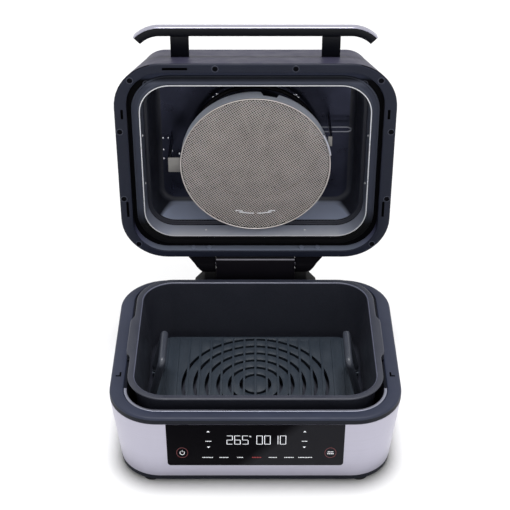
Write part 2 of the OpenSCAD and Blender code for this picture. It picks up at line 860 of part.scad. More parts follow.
module lid_frame() in_lid() color("#282c38") {
    difference() {
        union() {
            frame(body_outline, channel_out, lid_z, shell_z - seat);
            frame(grow(channel_out, channel_wall), channel_out, lid_z, channel_z - seat);
        }
        at_rim_screws() translate([0, 0, -past]) {
            cylinder(d = face_head_d + slip, h = face_head_h + slip + past);
            cylinder(d = face_screw_d + 2 * fit, h = 2 * face_t);
        }
        both_sides() at_arm_screws() translate([0, 0, -past])
            cylinder(d = screw_d + 2 * fit, h = channel_wall + 2 * past);
        rim_slot(-front_slot[0], rim_mid_front, front_slot[1], rim_slot_w);
        both_sides() {
            rim_slot(rim_slot_x, side_slot_front[0], rim_slot_w, side_slot_front[1]);
            rim_slot(rim_slot_x, side_slot_back[0], rim_slot_w, side_slot_back[1]);
        }
    }
}

module seal_carrier() in_lid() color("#343845") {
    difference() {
        union() {
            frame(grow(channel_out, channel_wall), frame_hole, channel_z, frame_top);
            frame(channel_in, frame_hole, ring_z, channel_z + bite);
        }
        liner_screw_bores();
    }
}

module frame_screws() in_lid() color("#6d6f78") {
    at_rim_screws() {
        translate([0, 0, slip]) cylinder(d = face_head_d, h = face_head_h);
        translate([0, 0, slip]) cylinder(d = face_screw_d, h = face_screw_len);
    }
}

module lid_shell() in_lid() color(dark_plastic) {
    steps = [0:22.5:90];
    edge_z = lid_top - lid_edge_r;
    edge_in = lid_edge_r - shell_t;
    bore_h = face_screw_len + slip;
    difference() {
        union() {
            loft(concat(
                [for (a = steps)
                    ring(lid_outline(edge_z, shell_t + edge_in * (1 - sin(a))), edge_z + edge_in * cos(a))],
                [ring(lid_outline(shell_z, shell_t), shell_z), ring(lid_outline(shell_z, 0), shell_z)],
                [for (a = steps)
                    ring(lid_outline(edge_z, lid_edge_r * (1 - cos(a))), edge_z + lid_edge_r * sin(a))]));
            at_rim_screws() translate([0, 0, face_t]) cylinder(d = rim_boss_d, h = bore_h - face_t + past);
        }
        at_rim_screws() cylinder(d = face_screw_d + 2 * fit, h = bore_h);
        both_sides() box([arm_in - slip, half_d - 2 * face_back, shell_z - past],
                         [arm_wide + slip, half_d + past, hinge_z + arm_r + slip]);
        for (k = [0:vent_count - 1])
            translate([(k - (vent_count - 1) / 2) * vent_pitch, vent_y, lid_top])
                cube([vent_size[0], vent_size[1], 4 * shell_t], center = true);
    }
}

module lid_seal() in_lid() color("#5b5d66") {
    frame(grow(pot_rim, -seal_in[0]), grow(pot_mouth, seal_in[1]), ring_z - seal_t, ring_z - seat / 2);
}

module lid_liner() in_lid() color("#9b9da8") {
    difference() {
        union() {
            loft([ring(liner_end, liner_top), ring(liner_step_in, liner_step_z),
                  ring(liner_step_out, liner_step_z - sheet_t), ring(liner_lip, lip_z),
                  ring(grow(liner_lip, sheet_t), lip_z), ring(grow(liner_step_out, sheet_t), liner_step_z),
                  ring(grow(liner_step_in, sheet_t), liner_step_z + sheet_t),
                  ring(grow(liner_end, sheet_t), liner_top + sheet_t)]);
            frame(grow(liner_lip, flange_w), grow(liner_lip, sheet_t / 2 - flange_lean),
                  flange_z, flange_z + flange_t);
        }
        translate([0, guard_y, liner_top - past]) cylinder(d = shaft_hole_d, h = sheet_t + 2 * past);
        at_terminals() cylinder(d = terminal_hole_d, h = element_gap + 2 * sheet_t);
        liner_screw_bores();
    }
}

// Places children at the two ends of the heating element
module at_terminals() {
    for (a = [0, element_sweep]) translate([0, guard_y, element_z]) rotate(a)
        translate([element_d / 2, 0, 0]) children();
}

// Places children at the screws that hold the liner's flange on the seal carrier
module at_liner_screws() {
    out = flange_w / 2 + sheet_t;
    both_sides() translate([0, cavity_shift, flange_z + flange_t + seat]) {
        for (y = [-1, 0, 1]) translate([liner_lip[0] + out, y * liner_lip[1] * 0.47, 0]) children();
        for (y = [-1, 1]) translate([liner_lip[0] * 0.36, y * (liner_lip[1] + out), 0]) children();
    }
}

module liner_screws() in_lid() color("#c9cad2") {
    at_liner_screws() {
        cylinder(d = liner_head_d, h = liner_head_h);
        translate([0, 0, -liner_screw_len]) cylinder(d = liner_screw_d, h = liner_screw_len + bite);
    }
}

module liner_screw_bores() {
    at_liner_screws() translate([0, 0, -2 * liner_screw_len])
        cylinder(d = liner_screw_d + 2 * fit, h = 2 * liner_screw_len + past);
}

// Right hinge arm, as the crossing of its plan and its side view
module hinge_arm() {
    front = channel_out[3] + channel_out[1] + channel_wall + seat;
    low = hinge_z - arm_r;
    high = hinge_z + arm_r;
    difference() {
        intersection() {
            translate([0, 0, low - past]) linear_extrude(high - low + 2 * past)
                polygon([[arm_in, front], [arm_wide, front], [arm_wide, half_d],
                         [arm_narrow, hinge_y + arm_r], [arm_in, hinge_y + arm_r]]);
            rotate([90, 0, 90]) linear_extrude(arm_wide + past) union() {
                translate([front, shell_z + 2 * seat]) square([hinge_y - front, high - shell_z - 2 * seat]);
                translate([hinge_y, hinge_z]) circle(arm_r);
            }
        }
        on_axis(past - arm_in) cylinder(d = pin_d + 2 * fit, h = pin_end - arm_in + 2 * past);
        at_arm_screws() cylinder(d = screw_d + 2 * fit, h = arm_screw_len + 2);
    }
}

module left_hinge_arm() in_lid() color(dark_plastic) mirror([1, 0, 0]) hinge_arm();

module right_hinge_arm() in_lid() color(dark_plastic) hinge_arm();

module arm_screws() in_lid() color("#6d6f78") {
    both_sides() at_arm_screws() {
        translate([0, 0, -screw_head_h - seat]) cylinder(d = screw_head_d, h = screw_head_h);
        translate([0, 0, -screw_head_h - seat]) cylinder(d = screw_d, h = arm_screw_len);
    }
}

// Bar with curved ends: a straight stretch and two bends towards the lid, from its back face outwards
module bar(back, t, z0, h) {
    centre_y = bar_back_y - bar_t / 2 + bar_bend_r;
    translate([0, 0, z0]) {
        box([-bar_half, bar_back_y - back - t, 0], [bar_half, bar_back_y - back, h]);
        for (side = [0, 1]) mirror([side, 0, 0]) translate([bar_half, centre_y, 0]) rotate(-90)
            rotate_extrude(angle = bar_bend, $fn = 96)
                translate([bar_bend_r - bar_t / 2 + back, 0]) square([t, h]);
    }
}

// Places children at the right handle screw, pointing from the bar to the lid
module at_handle_screw() {
    translate([post_x, bar_back_y - bar_t, bar_z + bar_h / 2]) rotate([-90, 0, 0]) children();
}

module handle_bar() in_lid() color("#1f222a") {
    difference() {
        bar(0, bar_t, bar_z, bar_h);
        both_sides() at_handle_screw() translate([0, 0, -past]) {
            cylinder(d = handle_head_d + slip, h = handle_head_h + seat + past);
            cylinder(d = handle_screw_d + 2 * fit, h = 2 * bar_t);
        }
    }
}

module handle_cover() in_lid() color(steel) {
    bar(bar_t + seat, cover_t, bar_z, bar_h);
}

module handle_post() {
    mid = bar_z + bar_h / 2;
    low = mid - post_h / 2;
    high = mid + post_h / 2;
    wall_low = -half_d + lid_draft * (low - shell_z) - seat;
    wall_high = -half_d + lid_draft * (high - shell_z) - seat;
    difference() {
        translate([post_x - post_w / 2, 0, 0]) rotate([90, 0, 90]) linear_extrude(post_w)
            polygon([[bar_back_y + seat, low], [wall_low, low],
                     [wall_high, high], [bar_back_y + seat, high]]);
        at_handle_screw() cylinder(d = handle_screw_d + 2 * fit, h = handle_screw_len + bar_t);
    }
}

module left_handle_post() in_lid() color("#282c38") mirror([1, 0, 0]) handle_post();

module right_handle_post() in_lid() color("#282c38") handle_post();

module handle_screws() in_lid() color("#8d8f96") {
    both_sides() at_handle_screw() {
        cylinder(d = handle_head_d, h = handle_head_h);
        cylinder(d = handle_screw_d, h = handle_screw_len);
    }
}

module heating_element() in_lid() color("#4b4744") {
    translate([0, guard_y, element_z]) rotate_extrude(angle = element_sweep, $fn = 96)
        translate([element_d / 2, 0]) circle(d = element_tube_d);
    at_terminals() {
        sphere(d = element_tube_d * ball_swell);
        cylinder(d = element_tube_d, h = element_gap + sheet_t + terminal_up);
    }
}

module element_clips() in_lid() color("#a7a9b1") {
    for (a = [60, 180, 285]) translate([0, guard_y, element_z]) rotate(a) translate([element_d / 2, 0, 0])
        box([-clip_size[0] / 2, -clip_size[1] / 2, element_tube_d / 2 + 2 * seat],
            [clip_size[0] / 2, clip_size[1] / 2, element_gap - seat]);
}

// A long loop of tube below the heating element, on two legs down from a block on the liner's top plate
module temperature_probe() in_lid() color("#b9bac2") {
    leg_h = liner_top - seat - probe_z;
    translate([0, probe_y, probe_z]) {
        for (y = [-probe_bend_r, probe_bend_r]) translate([probe_root_x, y, 0]) {
            cylinder(d = probe_d, h = leg_h);
            sphere(d = probe_d * ball_swell);
            rotate([0, 90, 0]) cylinder(d = probe_d, h = probe_tip_x - probe_root_x);
        }
        translate([probe_tip_x, 0, 0]) rotate(-90) rotate_extrude(angle = 180)
            translate([probe_bend_r, 0]) circle(d = probe_d);
        translate([probe_root_x, 0, leg_h - probe_plate[2] / 2]) cube(probe_plate, center = true);
    }
}

// Bracket beside the guard: a tab level with the guard and a leg up to the liner's top plate
module bracket(size, y) {
    near = max(0, abs(y - guard_y) - size[1] / 2);
    edge = sqrt(guard_r * guard_r - near * near) + fit;
    low = guard_face + bracket_rise;
    box([edge, y - size[1] / 2, low], [edge + size[0], y + size[1] / 2, low + size[2]]);
    box([edge + size[0] - size[2], y - size[1] / 2, low],
        [edge + size[0], y + size[1] / 2, liner_top - seat]);
}

module left_guard_bracket() in_lid() color("#a9a6a4") mirror([1, 0, 0]) bracket(guard_bracket, guard_y);

module right_guard_bracket() in_lid() color("#a9a6a4") bracket(right_bracket, right_bracket_y);

module motor_bracket() in_lid() color("#a7a9b1") {
    low = liner_top + sheet_t + seat;
    half_y = motor_size[1] / 2;
    translate([0, guard_y, 0]) difference() {
        union() {
            box([-bracket_leg_x - motor_plate_t, -half_y, motor_plate_z],
                [bracket_leg_x + motor_plate_t, half_y, motor_z - seat]);
            both_sides() {
                box([bracket_leg_x, -half_y, low], [bracket_leg_x + motor_plate_t, half_y, motor_z - seat]);
                box([bracket_leg_x, -half_y, low],
                    [bracket_leg_x + bracket_foot, half_y, low + motor_plate_t]);
            }
        }
        translate([0, 0, motor_plate_z - past]) cylinder(d = shaft_hole_d, h = motor_plate_t + 2 * past);
    }
}

module motor() in_lid() color("#6b6d73") {
    translate([0, guard_y, motor_z]) difference() {
        union() {
            translate([-motor_size[0] / 2, -motor_size[1] / 2, 0]) cube(motor_size);
            cylinder(d = motor_bell_d, h = motor_size[2] + motor_bell_h);
        }
        translate([0, 0, -past])
            cylinder(d = shaft_d + 2 * fit, h = motor_size[2] + motor_bell_h + 2 * past);
    }
}

module thermal_cutout() in_lid() color("#d8d4c8") {
    translate([-cool_fan_d * 0.6, guard_y - cool_fan_d * 0.7, liner_top + sheet_t + seat]) {
        cylinder(d = cutout_d, h = cutout_h);
        box([-cutout_d * 0.8, -cutout_d / 4, 0], [cutout_d * 0.8, cutout_d / 4, cutout_tab_t]);
    }
}

module guard_cup() in_lid() color("#8b909c") {
    difference() {
        translate([0, guard_y, guard_face]) rotate_extrude($fn = 96) {
            translate([guard_r - guard_t, guard_rim_d / 2]) square([guard_t, guard_h]);
            translate([guard_r - guard_t / 2, guard_rim_d / 2]) circle(d = guard_rim_d, $fn = 24);
        }
        box([notch_left, guard_y - guard_r - past, guard_face + guard_h * 0.55],
            [notch_left + notch_w, guard_y - guard_r * 0.8, guard_face + guard_h + guard_rim_d]);
    }
}

module guard_mesh() in_lid() color("#a29d98") {
    inner_r = guard_r - guard_t / 2 - guard_rim_d / 2;
    translate([0, guard_y, guard_face + (guard_rim_d - mesh_t) / 2])
        cylinder(r = inner_r - 2 * seat, h = mesh_t, $fn = 96);
}

module motor_shaft() in_lid() color("#b9bac2") {
    low = fan_disc_z - fan_h - nut_h - shaft_tip;
    translate([0, guard_y, low]) cylinder(d = shaft_d, h = shaft_top - low);
}

module circulation_fan() in_lid() color("#8f919a") {
    translate([0, guard_y, fan_disc_z]) difference() {
        union() {
            cylinder(d = fan_d, h = fan_disc_t, $fn = 96);
            translate([0, 0, -fan_h]) cylinder(d = fan_hub_d, h = fan_h + bite);
            for (k = [0:fan_blades - 1]) rotate(360 * k / fan_blades) translate([0, 0, -fan_h])
                box([blade_in, -blade_t / 2, 0], [fan_d / 2 - blade_t, blade_t / 2, fan_h + bite]);
        }
        translate([0, 0, -fan_h - past]) cylinder(d = shaft_d + 2 * fit, h = 2 * fan_h);
    }
}

module fan_nut() in_lid() color("#8d8f96") {
    translate([0, guard_y, fan_disc_z - fan_h - nut_h - seat]) difference() {
        cylinder(d = nut_d, h = nut_h, $fn = 6);
        translate([0, 0, -past]) cylinder(d = shaft_d + 2 * fit, h = nut_h + 2 * past);
    }
}

module cooling_fan() in_lid() color("#7d808a") {
    translate([0, guard_y, cool_fan_z]) difference() {
        union() {
            cylinder(d = cool_fan_d, h = fan_disc_t, $fn = 72);
            cylinder(d = fan_hub_d, h = cool_fan_h);
            for (k = [0:cool_blades - 1]) rotate(360 * k / cool_blades)
                box([fan_hub_d / 2 - past, -blade_t / 2, 0],
                    [cool_fan_d / 2 - blade_t, blade_t / 2, cool_fan_h]);
        }
        translate([0, 0, -past]) cylinder(d = shaft_d + 2 * fit, h = cool_fan_h + 2 * past);
    }
}

base_pan();
feet();
outer_wrap();
top_bezel();
cavity_liner();
control_glass();
panel_carrier();
display_module();
control_board();
power_board();
lid_sensor();
hinge_pedestal();
hinge_tower();
hinge_pin();
cord_gland();
base_screws();
cooking_pot();
grill_plate();
left_plate_handle();
right_plate_handle();
plate_rivets();
lid_frame();
seal_carrier();
lid_shell();
frame_screws();
lid_seal();
lid_liner();
liner_screws();
left_hinge_arm();
right_hinge_arm();
arm_screws();
handle_bar();
handle_cover();
left_handle_post();
right_handle_post();
handle_screws();
heating_element();
element_clips();
temperature_probe();
left_guard_bracket();
right_guard_bracket();
motor_bracket();
motor();
thermal_cutout();
guard_cup();
guard_mesh();
motor_shaft();
circulation_fan();
fan_nut();
cooling_fan();
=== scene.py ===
"""Looks of a countertop air fryer grill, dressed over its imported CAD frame.

Shapes are written in millimetres, as in the CAD source, and become metres where a mesh is made.
The lid is described shut, as in the CAD source, and is swung open about its hinge where a mesh is made.
"""
import json
from math import atan, copysign, cos, pi, radians, sin, sqrt, tan

import bmesh
import bpy
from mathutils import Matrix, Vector

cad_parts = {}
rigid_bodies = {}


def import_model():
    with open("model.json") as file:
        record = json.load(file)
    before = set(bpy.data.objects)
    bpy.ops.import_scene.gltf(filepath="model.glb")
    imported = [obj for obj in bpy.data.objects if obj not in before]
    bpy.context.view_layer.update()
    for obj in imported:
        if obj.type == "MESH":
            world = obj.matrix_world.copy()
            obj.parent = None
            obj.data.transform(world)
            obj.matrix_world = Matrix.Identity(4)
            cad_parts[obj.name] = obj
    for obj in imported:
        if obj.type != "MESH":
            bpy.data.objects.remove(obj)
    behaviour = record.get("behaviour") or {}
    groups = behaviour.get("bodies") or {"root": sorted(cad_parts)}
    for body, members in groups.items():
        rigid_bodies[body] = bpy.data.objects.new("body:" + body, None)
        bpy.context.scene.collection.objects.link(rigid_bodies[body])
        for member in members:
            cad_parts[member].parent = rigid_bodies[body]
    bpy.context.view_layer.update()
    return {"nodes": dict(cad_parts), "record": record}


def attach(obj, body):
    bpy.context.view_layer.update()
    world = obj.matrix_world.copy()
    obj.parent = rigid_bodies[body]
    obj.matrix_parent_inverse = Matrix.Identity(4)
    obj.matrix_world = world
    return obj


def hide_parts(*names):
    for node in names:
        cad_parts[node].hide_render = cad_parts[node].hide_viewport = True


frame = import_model()

MM = 0.001

# Outlines: half width, half depth, corner radius, shift to the back
BODY = (200, 160.75, 68, 0)
WRAP_FOOT = (189, 152.75, 58.5, 0)
MOUTH = (180.5, 148.75, 48.5, 4)
TUB = (175.7, 143.95, 43.7, 4)
TUB_FOOT = (164.2, 127.95, 41.7, 4)
POT_RIM = (175.5, 139.25, 53, 4)
POT_MOUTH = (166, 129.75, 43.5, 4)
POT_FLOOR = (157.7, 121.45, 35.2, 4)
CHANNEL = (182, 148.25, 50, 1)
LINER_LIP = (164.9, 125.45, 43.5, 4)
LINER_STEP = (162.4, 122.95, 41, 4)
LINER_RECESS = (155.9, 116.45, 34.5, 4)
LINER_TOP = (149.4, 109.95, 28, 4)

# Heights above the table, the lid's while it is shut
WRAP_Z, BEZEL_Z, TOP_Z = 12, 112, 122
BEZEL_LEDGE_Z = 119.4
TUB_UNDER_Z, TUB_FLOOR_Z, TUB_LIP_Z, TUB_TOP_Z = 14, 15, 120, 121
POT_FLOOR_Z, POT_TOP_Z = 29, 134.5
LID_Z, SHELL_Z, LID_TOP_Z = 122.6, 126.1, 250
RIM_EDGE_Z, RIM_TOP_Z, WALL_TOP_Z = 125.6, 126, 137.5
SEAL_Z, SEAL_TOP_Z = 134.9, 135.95
RING_Z, CHANNEL_Z, FRAME_TOP_Z = 136, 137.6, 140
LIP_Z, STEP_Z, RECESS_TOP_Z = 134.9, 162.9, 207.9

# Lid shell: inwards lean of its wall, top edge and thickness
LID_DRAFT, LID_EDGE_R, SHELL_T = 0.29, 14, 2.5

# Hinge axis, the pot's ears, the grill plate, the handle and the guard
HINGE_Y, HINGE_Z = 181.75, 138.5
EAR_HALF, EAR_REACH = 40, 5.6
PLATE_Y, PLATE_TOP_Z = 4, 45
GRIP_HALF, GRIP_Z, GRIP_X, GRIP_D = 35, 113, 132.2, 11
LUG_X, LUG_HALF = 147.7, 33
BAR_HALF, BAR_BEND_R, BAR_BEND = 135.5, 44, 46
BAR_BACK_Y, BAR_T, BAR_Z, BAR_H, COVER_T = -176.68, 12.5, 178.6, 11, 1.25
GUARD_Y, GUARD_R, GUARD_FACE_Z, GUARD_SKIRT = 4, 109, 127.2, 22

# Front of the base: a plane that leans back towards the table
FRONT_LEAN = atan(8 / 100)
PANEL_W, PANEL_TOP, PANEL_LOW, PANEL_R, PANEL_PROUD = 240, -0.3, -79.1, 5, 0.7

# Steps in a rounded corner and along a pot's side, and the angle from which an edge stays crisp
CORNER_STEPS, SIDE_STEPS, SHARP = 14, 36, 35


# Places

def lid_open(point):
    """A point of the shut lid, swung to where it is at rest."""
    x, y, z = point
    return (x, HINGE_Y + z - HINGE_Z, HINGE_Z + HINGE_Y - y)


def on_front(point):
    """A point on the leaning front: x to the right, y up from the wrap's top edge, z out of the front."""
    x, y, z = point
    turn = pi / 2 + FRONT_LEAN
    return (x, -BODY[1] + y * cos(turn) - z * sin(turn),
            BEZEL_Z + y * sin(turn) + z * cos(turn))


def stay(point):
    """A point of the base, which is drawn where it is."""
    return point


# Bodies whose points are swung open
PLACES = {"lid": lid_open, "guard": lid_open}


# Outlines and rings

def arc(start, end, steps):
    """Angles from start to end, which are in degrees."""
    return [radians(start + (end - start) * i / steps) for i in range(steps + 1)]


def grow(outline, by):
    half_x, half_y, r, shift = outline
    return (half_x + by, half_y + by, r + by, shift)


def ring(outline, z):
    """Points of a rounded outline at height z, counter-clockwise seen from above."""
    half_x, half_y, r, shift = outline
    plan = rounded_plan((-half_x, shift - half_y), (half_x, shift + half_y), r, CORNER_STEPS)
    return [(x, y, z) for x, y in plan]


def even_ring(outline, z):
    """A rounded outline whose straight sides are divided too."""
    half_x, half_y, r, shift = outline
    points = ring(outline, z)
    n = CORNER_STEPS + 1
    straight = half_y - r
    rows = [shift + straight * (1 - 2 * i / SIDE_STEPS) for i in range(1, SIDE_STEPS)]
    left = [(-half_x, y, z) for y in rows]
    right = [(half_x, y, z) for y in reversed(rows)]
    return points[:2 * n] + left + points[2 * n:] + right


def eared(outline, z):
    """The pot rim's outline at height z, with an ear that swells out of the middle of each side."""
    run_out, blend = 9, 14
    points = []
    for x, y, z in even_ring(outline, z):
        near = min(max((EAR_HALF + run_out - abs(y - PLATE_Y)) / blend, 0), 1)
        points.append((x + copysign(EAR_REACH * near * near * (3 - 2 * near), x), y, z))
    return points


def stack(*levels):
    """Rings from rows of an outline, how far it is grown, and a height."""
    return [ring(grow(outline, by), z) for outline, by, z in levels]


def edge(outline, z, r, start, end, steps=5, shape=ring):
    """Rings round an edge of radius r, whose arc centre is on the outline; 0 degrees is outwards, 90 up."""
    return [shape(grow(outline, r * cos(a)), z + r * sin(a)) for a in arc(start, end, steps)]


def outer_edge(outline, z, r, up=True, **how):
    """Rounded outer edge, from the wall to the top face, or from the underside to the wall."""
    middle = grow(outline, -r)
    return edge(middle, z - r, r, 0, 90, **how) if up else edge(middle, z + r, r, -90, 0, **how)


def inner_edge(outline, z, r, up=True, **how):
    """Rounded edge of a hole, from the top face to the wall, or from the wall to the underside."""
    middle = grow(outline, r)
    return edge(middle, z - r, r, 90, 180, **how) if up else edge(middle, z + r, r, 180, 270, **how)


def circle(r, steps):
    turns = [2 * pi * i / steps for i in range(steps)]
    return [(r * cos(a), r * sin(a)) for a in turns]


def rounded_plan(low, high, r, steps=4):
    points = []
    for corner, (sx, sy) in enumerate(((1, 1), (0, 1), (0, 0), (1, 0))):
        cx = high[0] - r if sx else low[0] + r
        cy = high[1] - r if sy else low[1] + r
        for i in range(steps + 1):
            a = radians(90 * (corner + i / steps))
            points.append((cx + r * cos(a), cy + r * sin(a)))
    return points


def fillet(points, r, steps=8):
    """A path with its inner corners rounded."""
    path = [Vector(points[0])]
    for a, b, c in zip(points, points[1:], points[2:]):
        a, b, c = Vector(a), Vector(b), Vector(c)
        to_a, to_c = (a - b).normalized(), (c - b).normalized()
        half = to_a.angle(to_c) / 2
        centre = b + (to_a + to_c).normalized() * (r / sin(half))
        start, end = b + to_a * (r / tan(half)), b + to_c * (r / tan(half))
        for i in range(steps + 1):
            arm = (start - centre).lerp(end - centre, i / steps)
            path.append(centre + arm.normalized() * r)
    path.append(Vector(points[-1]))
    return [tuple(p) for p in path]


# Shapes, which are pairs of points and faces

def loft(rings, closed=False, first=False, last=False):
    """A skin through a row of rings, closed to a loop, or with a cap on its first or last ring."""
    n = len(rings[0])
    verts = [p for r in rings for p in r]
    faces = []
    for k in range(len(rings) if closed else len(rings) - 1):
        a, b = k * n, (k + 1) % len(rings) * n
        for i in range(n):
            j = (i + 1) % n
            faces.append((a + i, a + j, b + j, b + i))
    if first:
        faces.append(tuple(reversed(range(n))))
    if last:
        faces.append(tuple(range((len(rings) - 1) * n, len(rings) * n)))
    return verts, faces


def solid(rings):
    return loft(rings, first=True, last=True)


def prism(plan, low, high):
    return solid([[(x, y, z) for x, y in plan] for z in (low, high)])


def join(*parts):
    """Several shapes as one."""
    verts, faces = [], []
    for part_verts, part_faces in parts:
        start = len(verts)
        verts.extend(part_verts)
        faces.extend(tuple(i + start for i in face) for face in part_faces)
    return verts, faces


def both(parts):
    """Shapes and their mirror images across the middle."""
    return list(parts) + [([(-x, y, z) for x, y, z in verts], faces) for verts, faces in parts]


def sweep(path, section, side):
    """A capped bar along a path.

    Each section point is a step along side(path direction) and a step along the other normal.
    """
    rings = []
    for k, p in enumerate(path):
        before, after = path[max(k - 1, 0)], path[min(k + 1, len(path) - 1)]
        along = (Vector(after) - Vector(before)).normalized()
        across = side(along).normalized()
        other = across.cross(along)
        rings.append([tuple(Vector(p) + across * u + other * v) for u, v in section])
    return solid(rings)


def outwards(along):
    """Side of a level path that lies on its right."""
    return along.cross(Vector((0, 0, 1)))


def turned(profile, centre, steps):
    """Rings of (radius, height) points about an upright axis."""
    x, y, z = centre
    return [[(x + r * u, y + r * v, z + h) for u, v in circle(1, steps)] for r, h in profile]


def lathe(profile, centre, steps=64):
    """A capped round piece."""
    return solid(turned(profile, centre, steps))


def torus(profile, centre, steps=32):
    """A round band, from a profile that is a loop."""
    return loft(turned(profile, centre, steps), closed=True)


def rounded_block(low, high, r):
    """A box with its upright edges and its top and bottom edges rounded."""
    quarter = arc(0, 90, 6)
    levels = [(r * (1 - sin(a)), low[2] + r * (1 - cos(a))) for a in quarter]
    levels += [(r * (1 - cos(a)), high[2] - r * (1 - sin(a))) for a in quarter]
    smallest_r = 0.2
    rings = []
    for inset, z in levels:
        near, far = (low[0] + inset, low[1] + inset), (high[0] - inset, high[1] - inset)
        plan = rounded_plan(near, far, max(r - inset, smallest_r))
        rings.append([(x, y, z) for x, y in plan])
    return solid(rings)


# Pieces

def add_object(name, data):
    thing = bpy.data.objects.new(name, data)
    bpy.context.scene.collection.objects.link(thing)
    return thing


def paint(piece, *materials):
    piece.data.materials.clear()
    for m in materials:
        piece.data.materials.append(m)
    return piece


def mesh_of(name, shape, place):
    """A mesh in metres from a shape in millimetres, its faces turned outwards."""
    verts, faces = shape
    mesh = bpy.data.meshes.new(name)
    mesh.from_pydata([Vector(place(v)) * MM for v in verts], [], faces)
    work = bmesh.new()
    work.from_mesh(mesh)
    bmesh.ops.recalc_face_normals(work, faces=work.faces)
    work.to_mesh(mesh)
    work.free()
    return mesh


def smooth(mesh, sharp=SHARP):
    mesh.shade_smooth()
    mesh.set_sharp_from_angle(angle=radians(sharp))


def add_piece(name, mesh, body, material, node, sharp):
    smooth(mesh, sharp)
    piece = add_object(name, mesh)
    if material:
        paint(piece, material)
    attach(piece, body)
    if node:
        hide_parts(node)
    return piece


def make(name, shape, body, material=None, node=None, place=None, sharp=SHARP):
    """A smooth-shaded piece that rides on a body and stands for a CAD node where one is named."""
    mesh = mesh_of(name, shape, place or PLACES.get(body, stay))
    return add_piece(name, mesh, body, material, node, sharp)


def refined(node, name, bevel, material=None, segments=3):
    """A copy of a CAD node with its sharp edges rounded, which stands for the node."""
    sharp, merge, flat = 30, 0.002, 0.5
    mesh = frame["nodes"][node].data.copy()
    mesh.name = name
    mesh.materials.clear()
    if "custom_normal" in mesh.attributes:
        mesh.attributes.remove(mesh.attributes["custom_normal"])
    work = bmesh.new()
    work.from_mesh(mesh)
    bmesh.ops.remove_doubles(work, verts=work.verts, dist=merge * MM)
    bmesh.ops.dissolve_limit(work, angle_limit=radians(flat), verts=work.verts, edges=work.edges)
    for e in work.edges:
        e.smooth = True
    edges = [e for e in work.edges if len(e.link_faces) == 2 and e.calc_face_angle() > radians(sharp)]
    bmesh.ops.bevel(work, geom=edges, offset=bevel * MM, offset_type="OFFSET", segments=segments, profile=0.5,
                    affect="EDGES", clamp_overlap=True)
    work.to_mesh(mesh)
    work.free()
    body = next(b for b, nodes in frame["record"]["behaviour"]["bodies"].items() if node in nodes)
    return add_piece(name, mesh, body, material, node, sharp)


def cut(piece, parts, place=stay):
    """Takes the joined cutters out of a piece's mesh."""
    cutter_mesh = mesh_of("cutter", join(*parts), place)
    cutter = add_object("cutter", cutter_mesh)
    modifier = piece.modifiers.new("cut", "BOOLEAN")
    modifier.operation = "DIFFERENCE"
    modifier.solver = "EXACT"
    modifier.object = cutter
    seen = piece.evaluated_get(bpy.context.evaluated_depsgraph_get())
    result = bpy.data.meshes.new_from_object(seen)
    piece.modifiers.remove(modifier)
    old = piece.data
    piece.data = result
    bpy.data.batch_remove((cutter, cutter_mesh, old))
    smooth(result)


def paint_faces(piece, tone, *materials):
    """Paints a piece and gives each face the one of the materials that tone(face) names."""
    paint(piece, *materials)
    for face in piece.data.polygons:
        face.material_index = materials.index(tone(face))


# Materials, with colours as they are seen on a screen, 0 to 255

def shade(colour, share=1):
    """A screen colour as shader values, made darker or lighter."""
    def linear(c):
        c /= 255
        return c / 12.92 if c <= 0.04045 else ((c + 0.055) / 1.055) ** 2.4
    return tuple(min(1, linear(c) * share) for c in colour) + (1,)


# Range in which most of a noise's values lie
NOISE_LOW, NOISE_HIGH = 0.3, 0.7
WHITE = (255, 255, 255)
SOCKETS = {"specular": "Specular IOR Level", "metallic": "Metallic", "roughness": "Roughness",
           "glow": "Emission Color"}


